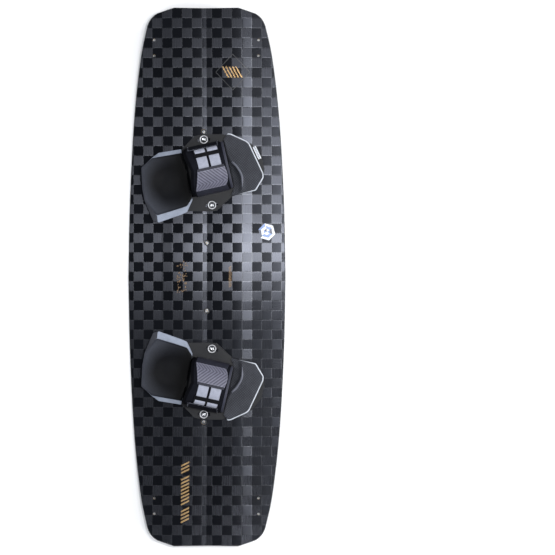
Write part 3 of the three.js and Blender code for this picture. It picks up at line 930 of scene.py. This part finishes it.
def heel_layer(side, place):
    """The grey-blue layer under the heel pad: a low wall and a bevel up to the pad."""
    foot = rounded(HEEL_FOOT, 2.5, 3)
    top = rounded(HEEL_TOP, 2.5, 3)
    levels = [
        (0, PAD_FOOT, 0.8), (0, PAD_FOOT + 0.8, 0), (0, 8.2, 0), (0.08, 9.3, 0),
        (0.5, 13.1, 0), (0.93, 17.2, 0), (1, LAYER_TOP, 0.6),
    ]
    loops = []
    for share, z, back in levels:
        line = [a.lerp(b, share) for a, b in zip(foot, top)]
        loops.append([(p.x, p.y, z) for p in (inset(line, back) if back else line)])
    points, faces = swept(loops)

    def tone(face):
        return int(middle_point(points, face).x < -152 and len(face) == 4)

    materials = ["slate_foam", "heel_side_foam"]
    name = side + "_heel_layer_foam"
    return finished(name, points, faces, materials, flat_uv(points), place, 25, tone)


def toe_layer(side, place):
    """The light-grey layer under the toe pad, which starts where the arch pad ends."""
    outline = rounded([(max(x, TOE_FRONT), y) for x, y in TOE_OUTLINE], 3, 3)
    levels = [(0.8, PAD_FOOT), (0, PAD_FOOT + 0.8), (0, 12), (0.8, 13.4), (2.2, 13.8)]
    points, faces = swept([[(p.x, p.y, z) for p in inset(outline, back)] for back, z in levels])
    name = side + "_toe_layer_foam"
    return finished(name, points, faces, ["pale_foam"], flat_uv(points), place, 30)


def toe_bead(side, place):
    """The smooth rounded bead along the crest of the toe pad, in a paler colour that is partly its own
    and partly a painted highlight along the ridge.
    """
    loops = []
    crest = TOE_CREST[3:-2]
    for k, p in enumerate(crest):
        side_way = left_side(crest, k)
        share = k / (len(crest) - 1)
        size = 0.35 + 2.6 * smooth(share / 0.25) * (1 - smooth((share - 0.7) / 0.3))
        edge = max(0.0, distance_to(TOE_OUTLINE, p)[0] - TOE_STEP)
        base = toe_height(p, edge) - 0.9 + 0.3 * size
        section = []
        for step in range(12):
            turn = math.tau * step / 12
            q = p + side_way * size * math.cos(turn)
            section.append((q.x, q.y, base + 0.75 * size * math.sin(turn)))
        loops.append(section)
    points, faces = swept(loops)
    bead = finished(side + "_toe_bead", points, faces, ["bead"], flat_uv(points), place, 60)
    settled(cleaned(bead, 60), side + "_binding")


def build_pads(side):
    place = PLACES[side][0]
    heel_line = rounded(HEEL_TOP, 3, 3)
    drawn_in = inset([Vector(p) for p in TOE_OUTLINE], TOE_STEP)
    toe_line = [full if full[0] < TOE_FRONT else p for full, p in zip(TOE_OUTLINE, drawn_in)]
    toe_line = rounded(toe_line, 2.5, 3)
    arch_line = rounded(ARCH_PAD, 4, 3)
    heel_name, toe_name, arch_name = (f"{side}_{part}_foam" for part in ("heel", "toe", "arch"))
    heel = pad(heel_name, heel_line, (-112, -8), LAYER_TOP + 0.3, heel_height, "heel_foam", place)
    toe = pad(toe_name, toe_line, (98, 0), TOE_FLOOR, toe_height, "ribbed_foam", place)
    arch = pad(arch_name, arch_line, (4, 5), PAD_FOOT, arch_height, "black_foam", place, 0.4)
    for piece, node, slot in (
        (heel, "heel_pad", "black_foam"),
        (toe, "toe_pad", "ribbed_foam"),
        (arch, "arch_pad", "black_foam"),
        (heel_layer(side, place), "heel_layer", "slate_foam"),
        (toe_layer(side, place), "toe_layer", "pale_foam"),
    ):
        settled(piece, side + "_binding", side + "_" + node)
    toe_bead(side, place)


# -------- strap


def on_arch(x, radius, degrees, leg):
    """A point of the strap: round the arch to a quarter turn each way, then straight down its legs."""
    bend = min(90.0, abs(degrees))
    drop = (abs(degrees) - bend) * leg
    angle = math.radians(bend) * (1 if degrees >= 0 else -1)
    return (x, radius * math.sin(angle), radius * math.cos(angle) - drop)


def lining_rear(degrees):
    return -52 - 8 * math.sin(0.9 * math.pi * min(1.0, abs(degrees) / 90))


def lining_front(degrees):
    return 43 + 7 * min(1.0, abs(degrees) / 90) ** 2


def leg_drop(x):
    """How far a leg runs down for each degree past a quarter turn, to end just above the plate."""
    pitch = math.radians(ARCH_PITCH)
    height = ARCH_HEIGHT - PLATE - 0.6
    reach = (height - x * math.sin(pitch)) / math.cos(pitch)
    return max(4.0, reach) / (LEG_END - 90)


def wrapped(sections, outer=None):
    """Points, faces and flat coordinates of a piece round the arch, from angles with their sections."""
    loops, uv = [], []
    for angle, section in sections:
        loops.append([on_arch(x, r, angle, leg_drop(x)) for x, r in section])
        uv += [(x * MM, math.radians(angle) * (outer or r) * MM) for x, r in section]
    return (*swept(loops), uv)


def soft_sheet(first, last, rear, front, inner, outer, steps, roundness, columns, swell):
    """A thick padded strap round the arch, with soft edges."""
    sections = []
    middle = (outer + inner) / 2
    for j in range(steps + 1):
        angle = between(first, last, j / steps)
        a, b = rear(angle), front(angle)
        low, high = a + roundness * 0.3, b - roundness * 0.3
        end = roundness * 0.5 if j in (0, steps) else 0.0
        upper, lower = [], []
        for i in range(columns + 1):
            share = i / columns
            x = between(low, high, share)
            lift = swell * smooth(min(share, 1 - share) * (b - a) / 12)
            rim = roundness * 0.45 if i in (0, columns) else 0
            upper.append((x, outer - end - rim + lift))
            lower.append((x, inner + end + rim))
        sections.append((angle, [*upper, (b, middle), *reversed(lower), (a, middle)]))
    return wrapped(sections, outer)


def tight_sheet(first, last, rear, front, inner, outer, steps, corner=3.0, columns=12):
    """A thin panel round the arch, its four corners rounded off."""

    def pull(angle):
        near = math.radians(min(abs(angle - first), abs(last - angle))) * outer
        if near >= corner:
            return 0.0
        return corner - math.sqrt(max(0.0, corner**2 - (corner - near) ** 2))

    marks = {between(first, last, k / steps) for k in range(steps + 1)}
    for share in (0.08, 0.3, 0.6):
        near = math.degrees(corner * share / outer)
        marks |= {first + near, last - near}
    sections = []
    middle = outer - (outer - inner) / 2
    for angle in sorted(marks):
        a, b = rear(angle) + pull(angle), front(angle) - pull(angle)
        xs = [between(a + 0.35, b - 0.35, i / columns) for i in range(columns + 1)]
        rims = [0.25 if i in (0, columns) else 0 for i in range(columns + 1)]
        upper = [(x, outer - rim) for x, rim in zip(xs, rims)]
        lower = [(x, inner + rim) for x, rim in zip(xs, rims)]
        sections.append((angle, [*upper, (b, middle), *reversed(lower), (a, middle)]))
    return wrapped(sections, outer)


def always(value):
    return lambda angle: value


def cover_share(angle):
    return (COVER_END - angle) / (COVER_END - FOLD_ANGLE)


def cover_rear(angle):
    return -37 - 14 * cover_share(angle)


def cover_front(angle):
    return 31 + 6 * math.sin(math.pi * min(1.0, cover_share(angle))) - 2 * cover_share(angle)


def facing_edges(top):
    """The rear and front edges of a facing that widens from its top down the strap's side."""

    def edge(start, end):
        return lambda angle: between(start, end, (abs(angle) - abs(top)) / (LEG_END - abs(top)))

    return edge(-50, -42), edge(32, 44)


def stitches(side, name, path, body="binding", pitch=3.4, length=2.3, lift=0.1):
    """A row of stitches along a path of (x, radius, degrees) round the arch."""
    spots = [Vector(on_arch(x, r + lift, a, leg_drop(x))) for x, r, a in path]
    points, faces = [], []
    carried = 0.0
    for start, end in zip(spots, spots[1:]):
        span = (end - start).length
        while carried + length < span:
            one = start.lerp(end, carried / span)
            two = start.lerp(end, (carried + length) / span)
            along = (two - one).normalized()
            out = Vector((0, one.y, max(one.z, 0))).normalized()
            across = along.cross(out).normalized() * 0.3
            ridge = [one.lerp(two, 0.15) + out * 0.3, one.lerp(two, 0.85) + out * 0.3]
            first = len(points)
            base = [one - across, one + across, two + across, two - across]
            points += [tuple(p) for p in (*base, *ridge)]
            for face in ((0, 1, 2, 3), (0, 4, 1), (1, 4, 5, 2), (2, 5, 3), (3, 5, 4, 0)):
                faces.append(tuple(first + i for i in face))
            carried += pitch
        carried -= span
    strap_piece(side, name, (points, faces, flat_uv(points)), "webbing", None, body, 30)


def edge_tape(edge, reach, first, last, steps=56):
    """Tape folded over the lining's edge; reach is how far it laps the fabric, towards its middle."""
    sections = []
    outer, inner = LINING[1] + 0.15, LINING[0] - 0.35
    middle, half = (outer + inner) / 2, (outer - inner) / 2
    way = 1 if reach < 0 else -1
    for j in range(steps + 1):
        angle = between(first, last, j / steps)
        x = edge(angle) + way * 0.7
        section = [(x + reach, middle + half)]
        for k in range(9):
            turn = math.pi * (0.5 - k / 8)
            bulge = half * 0.62 * (1 - math.cos(turn))
            section.append((x - way * bulge, middle + half * math.sin(turn)))
        for lift in (-half, 0.6 - half, half - 0.6):
            section.append((x + reach, middle + lift))
        sections.append((angle, section if way > 0 else section[::-1]))
    return wrapped(sections)


def strap_piece(side, name, made, material, node, body="binding", sharp=40):
    points, faces, uv = made
    piece = finished(f"{side}_{name}", points, faces, [material], uv, PLACES[side][1], sharp)
    return settled(cleaned(piece, sharp), f"{side}_{body}", node and f"{side}_{node}")


def folded_loop(low, high):
    """Webbing that comes from under the outer panel, turns round the keeper's bar and is sewn down."""
    middle = [
        (63, 62.25), (57, 62.25), (51, 62.3), (46, 62.25), (41.4, 62.3), (39.6, 62.8), (38.8, 63.9),
        (39.2, 65.4), (40.8, 66.5), (43.0, 66.9), (45.4, 66.7), (47.8, 66.0), (50.2, 64.9),
        (52.2, 63.9), (53.6, 63.3),
    ]
    half = 0.55
    upper = [(low, 0.6), (low + 0.8, 1), (high - 0.8, 1), (high, 0.6)]
    profile = upper + [(x, -shift) for x, shift in reversed(upper)]
    loops, uv = [], []
    length = 0.0
    flat = [Vector((math.radians(a) * LOOP_RADIUS, r)) for a, r in middle]
    for k, p in enumerate(flat):
        side = left_side(flat, k) * half
        if k:
            length += (p - flat[k - 1]).length
        section = []
        for x, shift in profile:
            q = p + side * shift
            section.append(on_arch(x, q.y, math.degrees(q.x / LOOP_RADIUS), 1.0))
            uv.append((x * MM, length * MM))
        loops.append(section)
    return (*swept(loops), uv)


def build_stitching(side):
    count = 24
    cover = [between(FOLD_ANGLE + 2, COVER_END - 6.4, k / count) for k in range(count + 1)]
    rear = [(cover_rear(a) + 2.2, COVER[1], a) for a in cover]
    front = [(cover_front(a) - 2.2, COVER[1], a) for a in reversed(cover)]
    stitches(side, "cover_stitches", [*rear, *front, rear[0]], "cover")
    panel = [between(OUTER_PANEL_TOP + 2, 108, k / count) for k in range(count + 1)]
    panel_rear, panel_front = facing_edges(OUTER_PANEL_TOP)
    rear = [(panel_rear(a) + 3, OUTER_FACING[1], a) for a in reversed(panel)]
    front = [(panel_front(a) - 3, OUTER_FACING[1], a) for a in panel]
    stitches(side, "panel_stitches", rear + front)
    for row, (low, high) in BANDS.items():
        sewn = [(between(low + 2, high - 2, k / 6), 64.3, 51.6) for k in range(7)]
        stitches(side, row + "_loop_stitches", sewn, pitch=2.6, length=1.8, lift=0.5)


def build_facings(side):
    top = FOLD_ANGLE - 1.7
    facing = tight_sheet(-LEG_END, top, *facing_edges(top), *INNER_FACING, steps=12)
    strap_piece(side, "inner_facing", facing, "tape", "strap_inner_panel")
    top = OUTER_PANEL_TOP
    facing = tight_sheet(top, LEG_END, *facing_edges(top), *OUTER_FACING, steps=12)
    strap_piece(side, "outer_facing", facing, "neoprene", "strap_outer_panel")
    edges = (always(-44), always(28))
    patch = tight_sheet(-52, -26, *edges, *HOOK_PATCH, steps=6, corner=1.0, columns=4)
    strap_piece(side, "hook_tape", patch, "neoprene", "hook_patch")


def hem_rear(angle):
    return cover_rear(angle) - 0.4


def hem_front(angle):
    return cover_front(angle) + 0.4


def build_cover(side):
    span, edges = (FOLD_ANGLE, COVER_END), (cover_rear, cover_front)
    flap = tight_sheet(*span, *edges, *COVER, steps=16, corner=4.0, columns=16)
    strap_piece(side, "cover_flap", flap, "twill", "strap_cover", "cover")
    span, edges = (COVER_END - 5.2, COVER_END + 0.5), (hem_rear, hem_front)
    hem = tight_sheet(*span, *edges, *HEM, steps=4, corner=1.5, columns=16)
    strap_piece(side, "cover_hem", hem, "tape", None, "cover")
    span, edges = (FOLD_ANGLE - 5.4, FOLD_ANGLE - 2.8), (always(-50.5), always(32.5))
    seam = tight_sheet(*span, *edges, *SEAM_TAPE, steps=3, corner=0.8)
    strap_piece(side, "fold_seam_tape", seam, "tape", None)


def build_strap(side):
    span = (-LEG_END, LEG_END)
    edges, swell = (lining_rear, lining_front), 0.4
    sheet = soft_sheet(
        *span, *edges, LINING[0], LINING[1] - swell, steps=56, roundness=4.2, columns=14, swell=swell
    )
    node = "strap_lining"
    lining = strap_piece(side, "neoprene_lining", sheet, "neoprene", node, sharp=60)
    build_facings(side)
    build_cover(side)
    front = edge_tape(lining_front, -6.5, *span)
    strap_piece(side, "front_edge_tape", front, "slate_tape", None)
    # The rear edge tape is nearly black: the neoprene's own black and painted shade of the foot opening
    # under the strap
    rear = edge_tape(lining_rear, 6.5, *span)
    strap_piece(side, "rear_edge_tape", rear, "black_neoprene", None)
    build_stitching(side)
    for row, (low, high) in BANDS.items():
        band = row + "_band"
        edges = (always(low), always(high))
        sheet = tight_sheet(*BAND_SPAN, *edges, *BAND, steps=14, corner=1.0, columns=8)
        strap_piece(side, band, sheet, "webbing", row + "_webbing", band)
        loop = folded_loop(low, high)
        node = row + "_webbing_loop"
        strap_piece(side, row + "_folded_loop", loop, "webbing", node, sharp=50)


for side in SIDES:
    build_pads(side)
    build_strap(side)


# -------- hardware

# Points nearer to each other than this, in metres, are one point
WELD = 0.00003


def second_where(points, test):
    """Gives the second material to the faces that pass a test."""
    return lambda face: int(test(points, face))


def is_recess(points, face):
    """Whether a face of the washer lies in its sunk ring."""
    reach = [math.hypot(*points[i][:2]) for i in face]
    return max(reach) < 8 and min(points[i][2] for i in face) > -0.1


def build_fasteners(side):
    washer = [
        (3.4, -0.75), (10.4, -0.75), (11, -0.3), (11, 0.2), (10.5, 0.72), (9.9, 0.78), (8.3, 0.78),
        (7.9, 0.6), (7.8, 0.25), (3.9, 0.25), (3.4, 0),
    ]
    bolt = [
        (0.01, -10), (3, -10), (3, 1.05), (5.6, 1.05), (5.8, 1.3), (5.8, 2.1), (5.5, 2.9), (4.7, 3.7),
        (3.6, 4.25), (2.5, 4.45), (2.2, 4.3), (2.1, 2.6), (0.01, 2.4),
    ]
    for row in ("outer", "inner"):
        start = f"{side}_{row}_"
        place = PLACES[side][0].copy()
        place.translation = middle_of(start + "washer")
        points, faces = turned(washer)
        tone = second_where(points, is_recess)
        materials = ["dull_steel", "nylon"]
        ring = finished(start + "washer_ring", points, faces, materials, None, place, 35, tone)
        settled(cleaned(ring, 30, WELD), "board", start + "washer")
        head = finished(start + "button_bolt", *turned(bolt), ["steel"], None, place)
        settled(cleaned(head, 30, WELD), "board", start + "bolt")


def is_core(points, face):
    return max(math.hypot(*points[i][:2]) for i in face) < 4


def build_inserts():
    """Threaded inserts: a dark nylon flange with a steel core."""
    profile = [
        (2.2, -2.8), (7, -2.8), (7, 2.3), (6.7, 2.75), (6.2, 2.8), (4.1, 2.8), (3.9, 2.5), (3.6, 2.5),
        (2.6, 2.5), (2.2, 2.1),
    ]
    for node in insert_nodes():
        place = METRES.copy() if "handle" in node else PLACES[node.split("_")[0]][0].copy()
        place.translation = middle_of(node)
        points, faces = turned(profile, 32)
        tone = second_where(points, is_core)
        bush = finished(node + "_bush", points, faces, ["nylon", "steel"], None, place, 30, tone)
        settled(bush, "board", node)


for side in SIDES:
    build_fasteners(side)
build_inserts()


# -------- CAD nodes that stay


def softened(node, material, width=0.0006, angle=30):
    """A CAD node keeps its shape and gets a material, and its hard edges a small bevel."""
    piece = frame["nodes"][node]
    piece.data.materials.clear()
    piece.data.materials.append(MATERIALS[material])
    if width:
        weld = piece.modifiers.new("weld", "WELD")
        weld.merge_threshold = 0.00001
        bevel = piece.modifiers.new("bevel", "BEVEL")
        bevel.width = width
        bevel.segments = 2
        bevel.limit_method = "ANGLE"
        bevel.angle_limit = math.radians(angle)


softened("wood_core", "wood", 0)
for side in SIDES:
    softened(side + "_base_plate", "plate", 0.0013)
    softened(side + "_keeper", "plastic", 0.0011)
    softened(side + "_inner_anchor_screw", "steel", 0.0002)
    softened(side + "_outer_anchor_screw", "steel", 0.0002)


# -------- marks on the board, in millimetres

MARK_FOOT = 0.03

# Hatched bands: left, right, low and high, and where their gaps begin
GOLD_BAND = (-66, -45, -637, -478)
GOLD_GAPS = (-603, -563, -524)
SMALL_BAND = (57, 64, -27, 29)
UNDERSIDE_BAND = (51, 73, 468, 623)
UNDERSIDE_GAPS = (503, 543, 583)
GAP = 5
DIAMOND = [(68, 577), (24, 531), (68, 485), (112, 531)]
EMBLEM_BARS = [40 + 8.6 * k for k in range(5)]
BADGE_RINGS = ((0.4, 8.5), (8.5, 16), (16, 22.6))
BADGE_TONES = [0, 1, 0, 2, 0, 1, 1, 0, 2, 0, 1, 0, 0, 1, 0, 1, 2, 0]
LABEL_HALF = (4, 17.5)
LABEL_SPOT = (139, 20, PLATE + 0.35)
LABEL_TURN = math.atan2(18, 84)


def on_deck(x, y, lift):
    return (x, y, deck_height(x, y) + lift)


def under_board(x, y, lift):
    return (x, y, underside_height(x, y) - lift)


class Marks:
    """Thin marks that follow one face of the board, gathered into one piece."""

    def __init__(self, surface=on_deck):
        self.surface = surface
        self.points = []
        self.faces = []

    def add(self, start, end, thick=0.07, steps=1):
        """A mark between two edges, each a pair of places."""
        first = len(self.points)
        for k in range(steps + 1):
            for one, two in zip(start, end):
                x, y = Vector(one).lerp(two, k / steps)
                self.points += [self.surface(x, y, MARK_FOOT), self.surface(x, y, MARK_FOOT + thick)]
        last = first + 4 * steps
        self.faces.append((first, first + 1, first + 3, first + 2))
        self.faces.append((last, last + 2, last + 3, last + 1))
        for a in range(first, last, 4):
            self.faces += [(a, a + 2, a + 6, a + 4), (a + 1, a + 5, a + 7, a + 3)]
            self.faces += [(a, a + 4, a + 5, a + 1), (a + 2, a + 3, a + 7, a + 6)]

    def bars(self, left, right, low, high, step=9.0, share=0.5, rise=10, gaps=()):
        """Slanted bars that fill a rectangle, as a plain hatched band."""
        y = low
        thick = step * share
        steps = max(2, round((right - left) / 6))
        while y + rise + thick < high:
            if not any(gap <= y <= gap + GAP for gap in gaps):
                start = ((left, y + thick), (left, y))
                self.add(start, ((right, y + rise + thick), (right, y + rise)), steps=steps)
            y += step

    def done(self, name, material):
        piece = cleaned(finished(name, self.points, self.faces, [material], None, METRES), 20)
        settled(piece, "board")


def build_marks():
    gold = Marks()
    gold.bars(*GOLD_BAND, gaps=GOLD_GAPS)
    for x in EMBLEM_BARS:
        gold.add(((x, 545), (x + 3.8, 545)), ((x + 15, 517), (x + 18.8, 517)), steps=5)
    gold.done("deck_gold_marks", "gold")

    draw = random.Random(7)
    small = Marks()
    for _ in range(56):
        x = draw.uniform(-80, -52)
        y = draw.uniform(-42, 38)
        tall = draw.uniform(1.6, 4)
        small.add(((x, y + tall), (x, y)), ((x + 2.6, y + 1.2 + tall), (x + 2.6, y + 1.2)))
    small.bars(*SMALL_BAND, step=3.6, share=0.4, rise=4)
    small.done("deck_small_marks", "old_gold")

    below = Marks(under_board)
    below.bars(*UNDERSIDE_BAND, gaps=UNDERSIDE_GAPS)
    below.done("underside_gold_marks", "gold")

    line = Marks()
    corners = [Vector(corner) for corner in DIAMOND]
    for k, corner in enumerate(corners):
        ahead = corners[(k + 1) % 4]
        along = (ahead - corner).normalized() * 0.9
        out = quarter_turn(along)
        line.add((corner + out, corner - out), (ahead + out, ahead - out), thick=0.06, steps=10)
    line.done("deck_frame_line", "rail")


def build_badge():
    """A six-sided sticker in three tones, a patchwork of plain wedges."""
    low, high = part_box("deck_badge")
    centre = (low + high) / 2 / MM
    sticker = Marks()
    tone = {}
    for k, chosen in enumerate(BADGE_TONES):
        ring = k % 3
        inner, outer = BADGE_RINGS[ring]
        start, end = (math.tau * (k // 3 + 0.5 + 0.12 * ring + share) / 6 for share in (0, 1))
        before = len(sticker.faces)
        edges = [[around(centre.x, centre.y, r, turn) for r in (outer, inner)] for turn in (start, end)]
        sticker.add(*edges, thick=0.25)
        tone.update(dict.fromkeys(sticker.faces[before:], chosen))
    films = ["white_film", "blue_film", "ink_film"]
    badge = finished("round_sticker", sticker.points, sticker.faces, films, None, METRES, 30, tone.get)
    settled(badge, "board", "deck_badge")


def build_label():
    columns, rows = 6, 16
    turn = Matrix.Rotation(LABEL_TURN, 4, "Z")
    spot = PLACES["left"][0] @ Matrix.Translation(LABEL_SPOT) @ turn

    def level(lift):
        def at(i, j):
            x = LABEL_HALF[0] * (2 * i / columns - 1)
            y = LABEL_HALF[1] * (2 * j / rows - 1)
            return (x, y, lift + 0.35 * smooth((x + 1) / 5) + 0.12 * math.sin(y * 0.35))

        return at

    points, faces = block(columns, rows, level(0.75), level(0.15))
    label = finished("left_woven_label", points, faces, ["label"], flat_uv(points), spot, 40)
    settled(label, "left_binding", "left_label_tab")


build_marks()
build_badge()
build_label()


# -------- floor, lights and camera

IMAGE_SPAN = 1.45
IMAGE_CENTRE = (0.184, -0.0015)
CAMERA_HEIGHT = 3.6
SKY_COLOUR = (0.045, 0.05, 0.06, 1)
SKY_STRENGTH = 3.8
BOARD_MIDDLE = (0, 0, 0)

# Each light's place, what it points at, its size, and its power in watts
LIGHTS = {
    "left_low": ((-3.2, -2.4, 3.2), BOARD_MIDDLE, (2.0, 2.0), 75),
    "left_high": ((-3.2, 2.4, 3.2), BOARD_MIDDLE, (2.0, 2.0), 75),
    "right_low": ((3.4, -2.4, 2.6), BOARD_MIDDLE, (1.6, 1.6), 55),
    "right_high": ((3.4, 2.4, 2.6), BOARD_MIDDLE, (1.6, 1.6), 55),
    "right": ((4.2, -0.3, 2.0), BOARD_MIDDLE, (0.6, 1.0), 80),
    "sheen": ((0.57, 0.15, 3.2), (0.1, 0, 0), (0.2, 0.2), 41),
    "low_sheen": ((0.5, -0.62, 2.7), (0.1, -0.5, 0), (0.15, 0.15), 6),
    "broad_sheen": ((1.4, 0.16, 3.4), (0.1, 0, 0), (0.5, 0.3), 22),
}


def build_floor():
    bpy.ops.mesh.primitive_plane_add(size=30, location=(0, 0, -0.0005))
    floor = bpy.context.object
    floor.name = "studio_floor"
    s = Shade("pale_floor", 0.9, 0.0, 0.1)
    s.set("Base Color", (0.92, 0.92, 0.92, 1.0))
    floor.data.materials.append(s.material)


def area_light(name, place, target, size, watts):
    data = bpy.data.lights.new(name, "AREA")
    data.shape = "RECTANGLE"
    data.size, data.size_y = size
    data.energy = watts
    light = bpy.data.objects.new(name, data)
    light.location = place
    light.rotation_euler = (Vector(target) - Vector(place)).to_track_quat("-Z", "Y").to_euler()
    light.visible_camera = False
    bpy.context.scene.collection.objects.link(light)


def build_world():
    world = bpy.data.worlds.new("studio")
    bpy.context.scene.world = world
    world.use_nodes = True
    background = world.node_tree.nodes["Background"]
    background.inputs[0].default_value = SKY_COLOUR
    background.inputs[1].default_value = SKY_STRENGTH


def build_camera():
    """A camera that looks straight down, with the board left of the middle as in the photograph."""
    data = bpy.data.cameras.new("camera")
    data.sensor_width = 36
    data.lens = data.sensor_width * CAMERA_HEIGHT / IMAGE_SPAN
    data.clip_end = 100
    camera = bpy.data.objects.new("camera", data)
    camera.location = (*IMAGE_CENTRE, CAMERA_HEIGHT)
    bpy.context.scene.collection.objects.link(camera)
    bpy.context.scene.camera = camera


build_floor()
build_world()
build_camera()
for name, setting in LIGHTS.items():
    area_light(name, *setting)
bpy.context.scene.view_settings.view_transform = "Standard"
